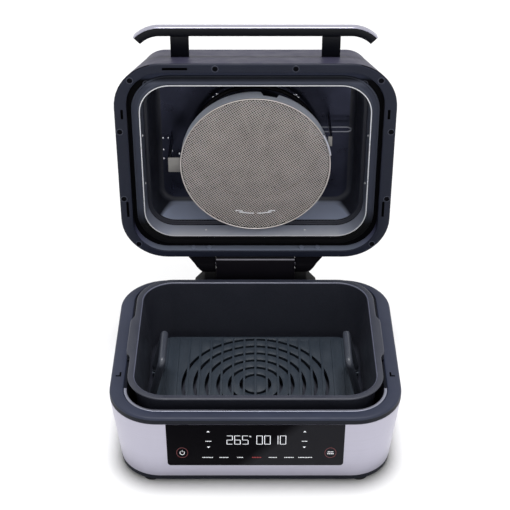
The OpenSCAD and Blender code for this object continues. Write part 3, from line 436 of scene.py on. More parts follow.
class Nodes:
    """Short forms for building the node tree of a material or a world."""

    def __init__(self, owner):
        self.owner = owner
        owner.use_nodes = True
        self.tree = owner.node_tree
        self.shader = next((n for n in self.tree.nodes if n.type == "BSDF_PRINCIPLED"), None)

    def add(self, kind, **values):
        node = self.tree.nodes.new(kind)
        for key, value in values.items():
            if key in node.inputs:
                node.inputs[key].default_value = value
            else:
                setattr(node, key, value)
        return node

    def link(self, a, out, b, into):
        self.tree.links.new(a.outputs[out], b.inputs[into])

    def finish(self, **sockets):
        """The owner, once constant values are on the shader's sockets."""
        for name, value in sockets.items():
            self.shader.inputs[SOCKETS[name]].default_value = value
        return self.owner

    def noise(self, scale, detail=3, stretch=(1, 1, 1), roughness=0.55):
        """Noise in the piece's own space; scale is in grains per metre."""
        place = self.add("ShaderNodeTexCoord")
        mapping = self.add("ShaderNodeMapping", Scale=stretch)
        noise = self.add("ShaderNodeTexNoise", Scale=scale, Detail=detail, Roughness=roughness)
        self.link(place, "Object", mapping, "Vector")
        self.link(mapping, "Vector", noise, "Vector")
        return noise

    def remap(self, source, out, low, high, **to):
        """Spreads a node's output from low to high over 0 to 1, or over the range that is given."""
        node = self.add("ShaderNodeMapRange", **{"From Min": low, "From Max": high}, **to)
        self.link(source, out, node, "Value")
        return node

    def spread(self, source, low, high, into):
        """Feeds a shader input with a noise's middle range, spread over low to high."""
        node = self.remap(source, "Fac", NOISE_LOW, NOISE_HIGH, **{"To Min": low, "To Max": high})
        self.link(node, "Result", self.shader, into)

    def ramp(self, source, out, stops):
        """Colours the surface along a row of stops: position from 0 to 1, and colour."""
        ramp = self.add("ShaderNodeValToRGB")
        points = ramp.color_ramp.elements
        for _ in stops[2:]:
            points.new(0.5)
        for point, (position, colour) in zip(points, stops):
            point.position, point.color = position, colour
        self.link(source, out, ramp, "Fac")
        self.link(ramp, "Color", self.shader, "Base Color")

    def tint(self, source, colour, darkest, lightest):
        """Colours the surface by a noise, between two shares of a colour."""
        self.ramp(source, "Fac", ((NOISE_LOW, shade(colour, darkest)), (NOISE_HIGH, shade(colour, lightest))))

    def times(self, source, out, factor, plus=None):
        """A node's output times a factor, plus the first output of another node."""
        node = self.add("ShaderNodeMath", operation="MULTIPLY_ADD" if plus else "MULTIPLY")
        node.inputs[1].default_value = factor
        self.link(source, out, node, 0)
        if plus:
            self.link(plus, 0, node, 2)
        return node

    def slope(self, x_share, z_share, low, high, uneven):
        """0 to 1 from low to high of a sum of the piece's own x and z, in metres, with some cloud in it."""
        place = self.add("ShaderNodeTexCoord")
        apart = self.add("ShaderNodeSeparateXYZ")
        self.link(place, "Object", apart, "Vector")
        along = self.times(apart, "Z", z_share, self.times(apart, "X", x_share))
        return self.times(self.noise(30, 4), "Fac", uneven, self.remap(along, "Value", low, high))

    def bump(self, source, height, strength):
        """Height of the surface's grain in millimetres."""
        bump = self.add("ShaderNodeBump", Strength=strength, Distance=height * MM)
        self.link(source, "Fac", bump, "Height")
        self.link(bump, "Normal", self.shader, "Normal")


def new_material(name):
    return Nodes(bpy.data.materials.new(name))


def moulded(name, colour, roughness=0.45, specular=0.4):
    """Moulded plastic with a fine spark-eroded grain and slightly uneven gloss."""
    m = new_material(name)
    m.tint(m.noise(14, 4), colour, 0.88, 1.12)
    m.spread(m.noise(45, 4), roughness - 0.06, roughness + 0.06, "Roughness")
    m.bump(m.noise(1900, 2), 0.03, 0.5)
    return m.finish(specular=specular)


def brushed(name, colour, roughness, stretch, vary, line=0.012, metallic=1.0):
    """Sheet metal brushed along one direction: the noise is drawn out along the strokes."""
    m = new_material(name)
    strokes = m.noise(1, 5, stretch, 0.7)
    m.tint(strokes, colour, 1 - vary, 1 + vary)
    m.spread(strokes, roughness - 0.07, roughness + 0.09, "Roughness")
    m.bump(strokes, line, 0.6)
    return m.finish(metallic=metallic)


def coated(name, colour, roughness, specular=0.5):
    """Non-stick coat: fine flecks in a satin film over cast metal."""
    m = new_material(name)
    m.tint(m.noise(700, 2), colour, 0.82, 1.18)
    m.spread(m.noise(30, 4), roughness - 0.08, roughness + 0.08, "Roughness")
    m.bump(m.noise(900, 3), 0.02, 0.5)
    return m.finish(specular=specular)


def metal(name, colour, roughness, vary=0.08, cloud=25):
    """Plain rolled or plated metal with cloudy gloss."""
    m = new_material(name)
    m.tint(m.noise(cloud, 5), colour, 1 - vary, 1 + vary)
    m.spread(m.noise(cloud * 3, 4), roughness - 0.06, roughness + 0.08, "Roughness")
    m.bump(m.noise(600, 2), 0.01, 0.4)
    return m.finish(metallic=1)


def rubber(name, colour):
    m = new_material(name)
    m.tint(m.noise(60, 4), colour, 0.75, 1.25)
    m.spread(m.noise(90), 0.6, 0.8, "Roughness")
    m.bump(m.noise(1400), 0.03, 0.5)
    return m.finish(specular=0.25)


def black_glass(name, dark, light):
    """Back-printed glass: near black, with a painted reflection that is paler on the right of a soft slanting
    border.
    """
    border, soft, slant = -0.048, 0.012, -0.95
    m = new_material(name)
    across = m.slope(1, slant, border - soft, border + soft, 0.05)
    m.ramp(across, "Value", ((0, shade(dark)), (1, shade(light))))
    m.spread(m.noise(25, 5, (1, 1, 4)), 0.04, 0.11, "Roughness")
    return m.finish(specular=0.02)


def shaded_sheet(name, tones, roughness=0.45, specular=0.3):
    """Dull surface with painted light and shade, its tone changing with height in the open lid; a tone is a
    colour and heights in mm.
    """
    m = new_material(name)
    stops = [(z, shade(colour)) for colour, *heights in tones for z in heights]
    low, high = stops[0][0], stops[-1][0]
    height = m.slope(0, 1, low * MM, high * MM, 0.004)
    m.ramp(height, "Value", [((z - low) / (high - low), colour) for z, colour in stops])
    m.spread(m.noise(40, 4), roughness - 0.06, roughness + 0.08, "Roughness")
    return m.finish(specular=specular)


def lit_mark(name, colour, strength):
    """Back-lit print on the touch glass, a little uneven as light guides are."""
    dimmest = 0.85
    m = new_material(name)
    glow = m.noise(180, 2)
    m.tint(glow, colour, dimmest, 1)
    m.spread(glow, strength * dimmest, strength, "Emission Strength")
    return m.finish(glow=shade(colour), roughness=0.3)


BEZEL_PLASTIC = moulded("bezel_plastic", (46, 51, 69), specular=0.25)
# Darker plastic: painted shade on the bezel's upright walls, and the pan's own colour
BEZEL_WALL = moulded("bezel_wall_plastic", (22, 25, 35), 0.5, 0.15)
LID_PLASTIC = moulded("lid_plastic", (31, 35, 50), specular=0.18)
RIM_BOSS_HIGHLIGHT = moulded("rim_boss_painted_highlight", (62, 66, 82), 0.3)
SHELL_PLASTIC = moulded("shell_plastic", (60, 59, 77), specular=0.15)
BLACK_PLASTIC = moulded("black_plastic", (14, 15, 20), 0.5, 0.2)
HINGE_PLASTIC = moulded("hinge_plastic", (24, 22, 28), 0.5, 0.1)
ARM_PLASTIC = moulded("arm_plastic", (17, 16, 21), 0.6, 0.04)
PEDESTAL_PLASTIC = moulded("pedestal_plastic", (10, 10, 13), 0.6, 0.05)
# Painted highlight for the hinge tower's upper front edges
HINGE_HIGHLIGHT = moulded("hinge_painted_highlight", (150, 148, 160), 0.3, 0.5)
HANDLE_PLASTIC = moulded("handle_plastic", (10, 12, 19), 0.4, 0.2)
HOLE_BLACK = moulded("hole_black", (2, 2, 3), 0.7, 0.02)
BOARD_GREEN = moulded("board_green", (36, 92, 56), 0.5)
DISPLAY_PLASTIC = moulded("display_plastic", (84, 80, 74), 0.5)
CERAMIC = moulded("ceramic_white", (208, 202, 190), 0.55)
FOOT_RUBBER = rubber("foot_rubber", (16, 16, 18))
PANEL_GLASS = black_glass("panel_glass", (7, 6, 10), (40, 40, 44))

WRAP_STEEL = brushed("wrap_steel", (184, 182, 196), 0.34, (4, 4, 700), 0.04)
TUB_METAL = brushed("tub_metal", (110, 112, 124), 0.36, (5, 5, 300), 0.08)
TUB_LIP_METAL = brushed("tub_lip_metal", (146, 148, 162), 0.34, (5, 5, 300), 0.05, 0.003)
LINER_EDGE = brushed("liner_edge_metal", (246, 247, 252), 0.3, (8, 8, 60), 0.03, 0.002, metallic=0.2)
BRIGHT_STEEL = brushed("bright_steel", (172, 171, 187), 0.26, (3, 500, 500), 0.05)
# Guard skirt's outside: painted far lighter than its steel, as painted light in the lid's shade
GUARD_SHEET = brushed("guard_sheet", (222, 228, 242), 0.45, (60, 60, 60), 0.06, 0.003, metallic=0)
BRACKET_STEEL = brushed("bracket_steel", (132, 130, 128), 0.45, (30, 30, 300), 0.1, metallic=0.6)

POT_COAT = coated("pot_coating", (47, 49, 59), 0.38, 0.4)
POT_RIM_COAT = coated("pot_rim_coating", (45, 48, 61), 0.42)
# Lighter coat for the pot mouth's inner edge, a painted highlight
POT_EDGE_HIGHLIGHT = coated("pot_edge_painted_highlight", (104, 107, 126), 0.34)
PLATE_COAT = coated("plate_coating", (46, 54, 64), 0.42)
GRIP_COAT = coated("grip_coating", (60, 64, 74), 0.34)

TUB_LIP_SHADE = metal("tub_lip_painted_shade", (22, 24, 32), 0.5)
LINER_BACK = metal("liner_back_metal", (120, 122, 130), 0.4)
LINER_TOP_METAL = metal("liner_top_metal", (50, 52, 66), 0.3, 0.3, cloud=12)
FASTENER_STEEL = metal("fastener_steel", (150, 152, 160), 0.3)
LINER_HEAD_STEEL = metal("liner_head_steel", (228, 230, 238), 0.2)
PROBE_STEEL = metal("probe_steel", (120, 122, 132), 0.35)
BLACKED_STEEL = metal("blacked_steel", (40, 42, 50), 0.4)
SCREW_BLACK = metal("screw_black", (14, 14, 18), 0.5)
GUARD_RIM = metal("guard_rim", (196, 190, 188), 0.34)
GUARD_WIRE = metal("guard_wire", (206, 200, 198), 0.36, 0.1, cloud=40)
CLIP_STEEL = metal("clip_steel", (178, 180, 190), 0.35)
FAN_METAL = metal("fan_metal", (46, 46, 50), 0.5, 0.2)
COOLING_FAN_METAL = metal("cooling_fan_metal", (150, 152, 160), 0.35)
# Heating element: dark metal, darkened nearly to black as painted shade where it shows behind the guard's
# skirt
ELEMENT_METAL = metal("element_metal", (26, 25, 28), 0.6, 0.2)
MOTOR_METAL = metal("motor_metal", (96, 98, 104), 0.45)

MARK_WHITE = lit_mark("mark_white", (232, 234, 240), 0.6)
MARK_RED = lit_mark("mark_red", (158, 42, 48), 0.35)
MARK_RING = lit_mark("mark_ring", (122, 52, 56), 0.25)

# Surfaces of the lid's inside, with light painted on them near the hinge or near the top and shade painted
# elsewhere, by height
CHANNEL_LIT, CHANNEL_DARK = (128, 136, 154), (6, 6, 9)
CHANNEL_WALL = shaded_sheet("channel_wall_plastic", (
    (CHANNEL_LIT, 168, 172), ((104, 108, 134), 190), ((76, 78, 104), 203), ((26, 26, 38), 216),
    (CHANNEL_DARK, 226, 475)), 0.6, 0.04)
CHANNEL_FLOOR = shaded_sheet("channel_floor_plastic", (
    (CHANNEL_DARK, 165, 450), ((50, 54, 70), 455, 475)), 0.6, 0.04)
# Heads of the arm screws, painted dark low down and in the channel wall's painted light above
ARM_SCREW_PAINTED_LIGHT = shaded_sheet("arm_screw_painted_light", (((20, 20, 24), 160, 169), (CHANNEL_LIT, 170, 176)), 0.6, 0.1)
SEAL_CARRIER = shaded_sheet("seal_carrier_plastic", (
    ((7, 7, 10), 175), ((10, 11, 14), 212), ((72, 77, 92), 240, 449), ((30, 33, 43), 453, 470)), 0.5, 0.15)
SEAL_RUBBER = shaded_sheet("seal_rubber", (
    ((7, 7, 10), 177), ((9, 10, 13), 212), ((62, 66, 80), 240, 440), ((84, 88, 102), 447),
    ((42, 45, 56), 451), ((16, 18, 24), 455, 470)), 0.65, 0.1)
LINER_BAND = shaded_sheet("liner_band_metal", (
    ((252, 253, 255), 190), ((196, 202, 220), 193.5), ((160, 165, 182), 202), ((94, 98, 112), 240),
    ((76, 80, 93), 300, 450)))
LINER_WALL = shaded_sheet("liner_wall_metal", (
    ((196, 206, 232), 198, 206.5), ((40, 42, 52), 210), ((36, 38, 48), 440)))
LINER_LEDGE = shaded_sheet("liner_ledge_metal", (((32, 34, 46), 189), ((38, 40, 50), 260, 450)))


# Base

# Notch in the bezel's top on the right: its plan, its depth, and a box round it as x and y limits
NOTCH = ((185.9, -63), (185.9, -72.4), (193.4, -72.4), (193.4, -69.8), (188.5, -69.8), (188.5, -63))
NOTCH_LOW, NOTCH_HIGH = 121, 123
NOTCH_X, NOTCH_Y = (185, 194), (-73, -62)

# The tub's lip is bright round the front and painted dark behind this line, as painted shade where it faces
# the dark pot
LIP_BRIGHT_Y = -98


def bezel_tone(face):
    x, y, z = face.center / MM
    # Painted shade: the upright walls darker than the top, and the notch's floor black
    if abs(face.normal.z) < 0.4 and z < TOP_Z - 3:
        return BEZEL_WALL
    if z < TOP_Z - 0.4 and NOTCH_X[0] < abs(x) < NOTCH_X[1] and NOTCH_Y[0] < y < NOTCH_Y[1]:
        return HOLE_BLACK
    return BEZEL_PLASTIC


def tub_tone(face):
    if face.center.z <= (TUB_LIP_Z - 0.1) * MM:
        return TUB_METAL
    # Painted shade: the lip behind the line takes a dark copy of its metal
    return TUB_LIP_METAL if face.center.y < LIP_BRIGHT_Y * MM else TUB_LIP_SHADE


def tower_tone(face):
    """A painted highlight on the edges that face up and to the front, apart from the smallest faces."""
    bright = face.normal.z > 0.55 and face.normal.y < -0.45 and face.area > 1e-5
    return HINGE_HIGHLIGHT if bright else HINGE_PLASTIC


def build_base():
    sheet, tub_gap, tub_lip, floor_r = 1, 1.4, 4.4, 6
    wrap = outer_edge(WRAP_FOOT, WRAP_Z, 0.5, up=False)
    wrap += stack((BODY, 0, BEZEL_Z), (BODY, -sheet, BEZEL_Z), (WRAP_FOOT, -sheet, WRAP_Z))
    make("wrap_skin", loft(wrap, closed=True), "base", WRAP_STEEL, "outer_wrap")

    bezel = outer_edge(BODY, BEZEL_Z, 0.8, up=False) + outer_edge(BODY, TOP_Z, 3.2)
    bezel += inner_edge(MOUTH, TOP_Z, 1.6)
    bezel += stack((MOUTH, 0, BEZEL_LEDGE_Z), (TUB, tub_gap, BEZEL_LEDGE_Z), (TUB, tub_gap, BEZEL_Z))
    piece = make("bezel_skin", loft(bezel, closed=True), "base", None, "top_bezel")
    cut(piece, both([prism(NOTCH, NOTCH_LOW, NOTCH_HIGH)]))
    paint_faces(piece, bezel_tone, BEZEL_PLASTIC, BEZEL_WALL, HOLE_BLACK)

    tub = stack((TUB_FOOT, sheet, TUB_UNDER_Z), (TUB, sheet, TUB_LIP_Z))
    tub += outer_edge(grow(TUB, tub_lip), TUB_TOP_Z, 0.5) + inner_edge(TUB, TUB_TOP_Z, 0.8)
    tub += outer_edge(TUB_FOOT, TUB_FLOOR_Z, floor_r, up=False, steps=6)[::-1]
    piece = make("tub_skin", solid(tub), "base", None, "cavity_liner")
    paint_faces(piece, tub_tone, TUB_METAL, TUB_LIP_METAL, TUB_LIP_SHADE)

    refined("base_pan", "pan_skin", 0.8, BEZEL_WALL)
    refined("feet", "feet_skin", 2, FOOT_RUBBER)
    refined("hinge_pedestal", "pedestal_skin", 2, PEDESTAL_PLASTIC)
    tower = refined("hinge_tower", "tower_skin", 1)
    paint_faces(tower, tower_tone, HINGE_PLASTIC, HINGE_HIGHLIGHT)
    refined("cord_gland", "gland_skin", 1.5, BLACK_PLASTIC)


# Touch panel

def glass_outline(inset):
    """Outline of the touch glass, drawn in by some amount."""
    w, top, low, r = PANEL_W / 2 - inset, PANEL_TOP - inset, PANEL_LOW + inset, PANEL_R - inset
    points = rounded_plan((-w, low), (w, top + r), r, steps=10)
    return [(x, min(y, top)) for x, y in points]


def build_panel():
    bevel, back = 0.6, -1.05
    shoulder = PANEL_PROUD - bevel
    levels = [(0, back), (0, shoulder)]
    levels += [(bevel * (1 - cos(a)), shoulder + bevel * sin(a)) for a in arc(30, 90, 2)]
    glass = solid([[(x, y, z) for x, y in glass_outline(inset)] for inset, z in levels])
    make("touch_glass", glass, "base", PANEL_GLASS, "control_glass", on_front)
    build_marks()


# Print on the touch glass: how far it stands out, and its marks by x from the middle and y on the front
PRINT_LOW, PRINT_HIGH = PANEL_PROUD - 0.02, PANEL_PROUD + 0.05
NUMBERS = (("2", -38.8), ("6", -28.3), ("5", -17.8), ("0", 1.4), ("0", 12.0), ("1", 22.4), ("0", 33.0))
NUMBER_LOW, NUMBER_H, NUMBER_W, NUMBER_STROKE = -37.3, 17, 8.4, 0.85
# Arrows: x, and height of the base and of the tip
ARROW_HALF = 2.1
ARROWS = ((-63.3, -13.8, -11), (-63.3, -41.6, -44.4), (66.1, -13.8, -11), (66.1, -41.6, -44.4))
# Places of words: x, y, width and height
WORDS = ((-63.3, -31.2, 8.6, 1.5), (66.1, -31.2, 7.8, 1.5), (-64.9, -63, 15, 1.5), (-42.8, -63, 12.6, 1.5),
         (-20.7, -63, 8.4, 1.5), (23.6, -63, 11.6, 1.5), (45.7, -63, 13.4, 1.5), (67.7, -63, 19.4, 1.5),
         (101.8, -52, 8, 1.7), (101.8, -55.6, 9.2, 1.7))
LIT_WORD = (1.6, -63, 13, 1.8)
# Rings: x, y, radius, thickness, from and to which angle, steps, and height by width
DEGREE_SIGN = (-6.9, -22, 0.7, 0.6, 0, 360, 16, 1)
POWER_RING, POWER_BAR = (-99.3, -53.9, 2.7, 0.65, 130, 410, 48, 1.2), (-99.3, -50.6, 0.65, 3.4)
KEY_RINGS = ((-99.3, -53.7, 7.3, 0.5, 0, 360, 48, 1.27), (101.8, -53.7, 7.3, 0.5, 0, 360, 48, 1.27))

# Strokes of a seven-stroke digit: top, upper right, lower right, low, lower left, upper left, middle
DIGITS = {"0": "abcdef", "1": "bc", "2": "abged", "5": "afgcd", "6": "afgcde"}


def flat_mark(points):
    """A thin raised print with the given outline."""
    return loft([[(x, y, z) for x, y in points] for z in (PRINT_LOW, PRINT_HIGH)], last=True)


def bar_mark(x, y, w, h):
    return flat_mark(rounded_plan((x - w / 2, y - h / 2), (x + w / 2, y + h / 2), min(w, h) * 0.35))


def band_mark(x, y, r, t, start, end, steps, tall):
    """A ring or part of one, t thick, drawn taller than wide where tall is above 1."""
    sections = ((r + t, PRINT_LOW), (r + t, PRINT_HIGH), (r, PRINT_HIGH), (r, PRINT_LOW))
    verts = [(x + q * cos(a), y + q * tall * sin(a), z)
             for q, z in sections for a in arc(start, end, steps)]
    n = steps + 1
    faces = [(k + i, k + i + 1, k + n + i + 1, k + n + i) for k in (0, n, 2 * n) for i in range(steps)]
    return verts, faces


def digit_marks(digit, x, y, w, h, t):
    """Strokes of one digit with its lower left corner at x, y."""
    half, gap = h / 2, 0.35
    left, mid, right = x + t / 2, x + w / 2, x + w - t / 2
    lower, upper = y + half * 0.5, y + half * 1.5
    level, upright = (w - t - gap, t), (t, half - gap)
    strokes = {"a": (mid, y + h - t / 2, *level), "d": (mid, y + t / 2, *level), "g": (mid, y + half, *level),
               "b": (right, upper, *upright), "c": (right, lower, *upright),
               "f": (left, upper, *upright), "e": (left, lower, *upright)}
    return [bar_mark(*strokes[s]) for s in DIGITS[digit]]


def dash_marks(x, y, w, h):
    """A row of small blocks, as wide as the word whose place it marks."""
    letter, filled = 2.1, 0.72
    count = max(2, round(w / letter))
    step = w / count
    return [bar_mark(x - w / 2 + step * (i + 0.5), y, step * filled, h) for i in range(count)]


def build_marks():
    """Generic print on the touch glass: numbers, arrows, a power sign, and dashes where words would be."""
    white = [band_mark(*DEGREE_SIGN), band_mark(*POWER_RING), bar_mark(*POWER_BAR)]
    for digit, x in NUMBERS:
        white += digit_marks(digit, x, NUMBER_LOW, NUMBER_W, NUMBER_H, NUMBER_STROKE)
    for x, base, tip in ARROWS:
        white.append(flat_mark([(x - ARROW_HALF, base), (x + ARROW_HALF, base), (x, tip)]))
    for word in WORDS:
        white += dash_marks(*word)
    rings = [band_mark(*key) for key in KEY_RINGS]
    for name, marks, material in (("panel_marks", white, MARK_WHITE),
                                  ("panel_mark_active", dash_marks(*LIT_WORD), MARK_RED),
                                  ("panel_mark_rings", rings, MARK_RING)):
        make(name, join(*marks), "base", material, place=on_front)


# Pot and grill plate

# Blocks under the pot's ears: from x, from z, to z
EAR_FROM_X, EAR_LOW_Z, EAR_HIGH_Z = 171, 121.4, 132

# Foot of a grip: radius and height above the plate
LUG_PAD = ((5.2, 0.2), (6, 0.8), (6, 2.8), (5.2, 3.8), (4.4, 4.6))


def build_pot():
    wall, floor_r, under_r, rim_r, mouth_r = 2.5, 12, 14.5, 1.5, 2
    how = {"steps": 9, "shape": even_ring}
    under = outer_edge(grow(POT_FLOOR, wall), POT_FLOOR_Z - wall, under_r, up=False, **how)
    neck = [even_ring(grow(POT_MOUTH, wall - 0.25), POT_TOP_Z - 2 * rim_r)]
    rim = edge(grow(POT_RIM, -rim_r), POT_TOP_Z - rim_r, rim_r, -90, 90, steps=12, shape=eared)
    mouth = inner_edge(POT_MOUTH, POT_TOP_Z, mouth_r, **how)
    floor = outer_edge(POT_FLOOR, POT_FLOOR_Z, floor_r, up=False, **how)[::-1]
    pot = solid(under + neck + rim + mouth + floor)
    ear_low = (EAR_FROM_X, PLATE_Y - EAR_HALF, EAR_LOW_Z)
    ear_high = (POT_RIM[0] + EAR_REACH - 0.3, PLATE_Y + EAR_HALF, EAR_HIGH_Z)
    ears = both([rounded_block(ear_low, ear_high, 1.2)])
    piece = make("pot_skin", join(pot, *ears), "pot", None, "cooking_pot")
    mouth_row = len(under + neck + rim)

    def pot_tone(face):
        # Painted highlight: the rows round the mouth's inner edge are lighter
        if mouth_row + 1 < face.index // len(neck[0]) < mouth_row + len(mouth) - 2:
            return POT_EDGE_HIGHLIGHT
        return POT_RIM_COAT if face.center.z > (POT_TOP_Z - 1.2) * MM else POT_COAT

    paint_faces(piece, pot_tone, POT_COAT, POT_RIM_COAT, POT_EDGE_HIGHLIGHT)


def grip_side(along):
    """A side of the grip's bar that doesn't flip along its path."""
    return along.orthogonal() if abs(along.x) > 0.9 else along.cross(Vector((1, 0, 0)))


def build_plate():
    refined("grill_plate", "plate_skin", 0.7, PLATE_COAT, segments=2)
    refined("plate_rivets", "plate_rivet_heads", 0.6, BLACKED_STEEL)
    foot_z, knee_z, bend_r = PLATE_TOP_Z + 0.3, PLATE_TOP_Z + 9, 7
    y0, y1 = PLATE_Y - LUG_HALF, PLATE_Y + LUG_HALF
    corners = [(LUG_X, y0, foot_z), (LUG_X, y0, knee_z), (GRIP_X, PLATE_Y - GRIP_HALF, GRIP_Z),
               (GRIP_X, PLATE_Y + GRIP_HALF, GRIP_Z), (LUG_X, y1, knee_z), (LUG_X, y1, foot_z)]
    for name, side in (("left", -1), ("right", 1)):
        path = [(side * x, y, z) for x, y, z in fillet(corners, bend_r)]
        bar = sweep(path, circle(GRIP_D / 2, 20), grip_side)
        pads = [lathe(LUG_PAD, (side * LUG_X, y, PLATE_TOP_Z)) for y in (y0, y1)]
        make(name + "_grip_skin", join(bar, *pads), "grill", GRIP_COAT, name + "_plate_handle")


# Lid

# Pocket for the right hinge arm, and the cooling slots: how many on each side, and their form
ARM_POCKET, ARM_POCKET_Z = ((60.6, 139.5), (103.4, 139.5), (103.4, 164), (60.6, 164)), (125, 153)
VENTS, VENT_PITCH, VENT_HALF, VENT_R = 4, 18, 2.5, 2.4
VENT_Y, VENT_Z = (15, 65), (244, 254)

# Screws and slots in the lid's rim: the right half, and the one slot on the left of the front
RIM_SCREWS = ((56, -154), (175.2, -135.95), (193.6, -55), (193.6, 57), (175.8, 136.55))
RIM_SLOTS = ((189, -83, 3.7, 15), (189, 75, 3.7, 26))
FRONT_SLOT = (-112, -154, 35, 3.7)
SCREW_HOLE = ((3.7, -2), (3.7, 2.4))

# Ridge round a screw, lighter as a painted highlight: by radius and height, and the place of the one in the
# seal's bed
BOSS_RIDGE = ((4, 0.4), (4.3, -0.2), (4.9, -0.2), (5.3, 0.4))
BED_BOSS = (153.3, -124.4)


def lid_outline(z, inset=0.0):
    return grow(BODY, -LID_DRAFT * (z - SHELL_Z) - inset)


def build_lid_shell():
    edge_z = LID_TOP_Z - LID_EDGE_R
    lip = 0.7
    inner_r = LID_EDGE_R - SHELL_T
    inside = outer_edge(lid_outline(edge_z, SHELL_T), LID_TOP_Z - SHELL_T, inner_r, steps=9)[::-1]
    foot = [(SHELL_T, 0), (lip, 0), (0.2 * lip, 0.3 * lip)]
    foot = [ring(lid_outline(SHELL_Z, inset), SHELL_Z + rise) for inset, rise in foot]
    foot.append(ring(lid_outline(SHELL_Z + lip), SHELL_Z + lip))
    outside = outer_edge(lid_outline(edge_z), LID_TOP_Z, LID_EDGE_R, steps=9)
    shell = make("lid_shell_skin", solid(inside + foot + outside), "lid", None, "lid_shell")
    cutters = both([prism(ARM_POCKET, *ARM_POCKET_Z)])
    for k in range(-VENTS, VENTS + 1):
        x = k * VENT_PITCH
        plan = rounded_plan((x - VENT_HALF, VENT_Y[0]), (x + VENT_HALF, VENT_Y[1]), VENT_R)
        cutters.append(prism(plan, *VENT_Z))
    cut(shell, cutters, lid_open)
    paint(shell, SHELL_PLASTIC)


def slot_cutter(x, y, w, d):
    plan = rounded_plan((x - w / 2, y - d / 2), (x + w / 2, y + d / 2), 0.8)
    return prism(plan, LID_Z - 2, LID_Z + 2)


def rim_tone(face):
    """Screw holes and slots painted black as painted shade, and the channel's wall in its painted light and
    shade.
    """
    x, y, z = face.center / MM
    hole_floor = HINGE_Y + LID_Z - HINGE_Z + 1
    inside = abs(x) < BODY[0] - 2 and abs(z - HINGE_Z - HINGE_Y) < BODY[1] - 2
    if y <= hole_floor or not inside:
        return LID_PLASTIC
    return CHANNEL_WALL if face.area > 2e-4 or y > hole_floor + 2 else HOLE_BLACK


def build_lid_frame():
    wall = grow(CHANNEL, 2)
    rim = outer_edge(BODY, LID_Z, 2.2, up=False)
    rim += stack((BODY, 0, RIM_EDGE_Z), (BODY, -0.5, RIM_TOP_Z), (wall, 0, RIM_TOP_Z), (wall, 0, WALL_TOP_Z),
                 (CHANNEL, 0, WALL_TOP_Z))
    rim += inner_edge(CHANNEL, LID_Z, 1.4, up=False)
    piece = make("lid_rim_skin", loft(rim, closed=True), "lid", None, "lid_frame")
    holes = [lathe(SCREW_HOLE, (x, y, LID_Z), 32) for x, y in RIM_SCREWS]
    holes += [slot_cutter(*slot) for slot in RIM_SLOTS]
    cut(piece, both(holes) + [slot_cutter(*FRONT_SLOT)], lid_open)
    paint_faces(piece, rim_tone, LID_PLASTIC, CHANNEL_WALL, HOLE_BLACK)
    bosses = both([torus(BOSS_RIDGE, (x, y, LID_Z)) for x, y in RIM_SCREWS])
    bosses += both([torus(BOSS_RIDGE, (*BED_BOSS, RING_Z))])
    make("rim_bosses", join(*bosses), "lid", RIM_BOSS_HIGHLIGHT)

    hole = grow(LINER_LIP, 1.4)
    land = grow(POT_RIM, 1.5)
    bed_z = CHANNEL_Z + 0.2
    floor = stack((wall, 0, CHANNEL_Z), (wall, 0, FRAME_TOP_Z), (hole, 0, FRAME_TOP_Z), (hole, 0, CHANNEL_Z))
    bed = stack((land, 0, bed_z), (hole, 0, bed_z), (hole, 0, RING_Z + 0.5), (hole, 0.5, RING_Z),
                (land, -1, RING_Z), (land, -0.3, RING_Z + 0.3), (land, 0, RING_Z + 1))
    make("seal_carrier_skin", loft(floor, closed=True), "lid", CHANNEL_FLOOR, "seal_carrier")
    make("seal_bed_skin", loft(bed, closed=True), "lid", SEAL_CARRIER)
    seal_out, seal_in, seal_r = grow(POT_RIM, -1), grow(POT_MOUTH, 2), 0.4
    seal = outer_edge(seal_out, SEAL_Z, seal_r, up=False)
    seal += stack((seal_out, 0, SEAL_TOP_Z), (seal_in, 0, SEAL_TOP_Z))
    seal += inner_edge(seal_in, SEAL_Z, seal_r, up=False)
    make("seal_skin", loft(seal, closed=True), "lid", SEAL_RUBBER, "lid_seal")


def build_lid_liner():
    top_r, step_r, centre_hole = 9, 3, ((6, -3), (6, 5))
    top = outer_edge(LINER_TOP, RECESS_TOP_Z, top_r, steps=6)[::-1]
    step = inner_edge(LINER_RECESS, STEP_Z, step_r, up=False, steps=6)
    step += outer_edge(LINER_STEP, STEP_Z, step_r, steps=6)[::-1]
    lip = stack((LINER_LIP, -0.3, LIP_Z + 0.6), (LINER_LIP, -0.1, LIP_Z), (LINER_LIP, 1.1, LIP_Z),
                (LINER_LIP, 1.3, LIP_Z + 0.6))
    back = stack((LINER_STEP, 1.1, STEP_Z + 0.5), (LINER_RECESS, 1.1, STEP_Z + 1),
                 (LINER_TOP, 1, RECESS_TOP_Z + 1))
    shape = solid(top + step + lip + back)
    liner = make("liner_skin", shape, "lid", None, "lid_liner")
    # Tones by row of faces, each up to where it ends; the two caps come after all rows
    ledge_end = len(top + step) - 1
    rows = ((len(top), LINER_WALL), (ledge_end, LINER_LEDGE), (ledge_end + 1, LINER_BAND),
            (ledge_end + len(lip), LINER_EDGE))
    top_plate = len(shape[1]) - 2

    def liner_tone(face):
        if face.index == top_plate:
            return LINER_TOP_METAL
        return next((tone for end, tone in rows if face.index // len(top[0]) < end), LINER_BACK)

    paint_faces(liner, liner_tone, LINER_BACK, LINER_TOP_METAL, *(tone for end, tone in rows))
    cut(liner, [lathe(centre_hole, (0, GUARD_Y, RECESS_TOP_Z), 32)], lid_open)
    shade_behind_guard(liner)


# Stretch of the liner's hinge-side wall behind the guard that is painted in shade: half width, where that is,
# how it widens with depth, and how far below the guard's middle it starts
BEHIND_GUARD, BEHIND_FROM_Y, BEHIND_WIDER, BEHIND_BELOW = 58, 206, 0.82, 90


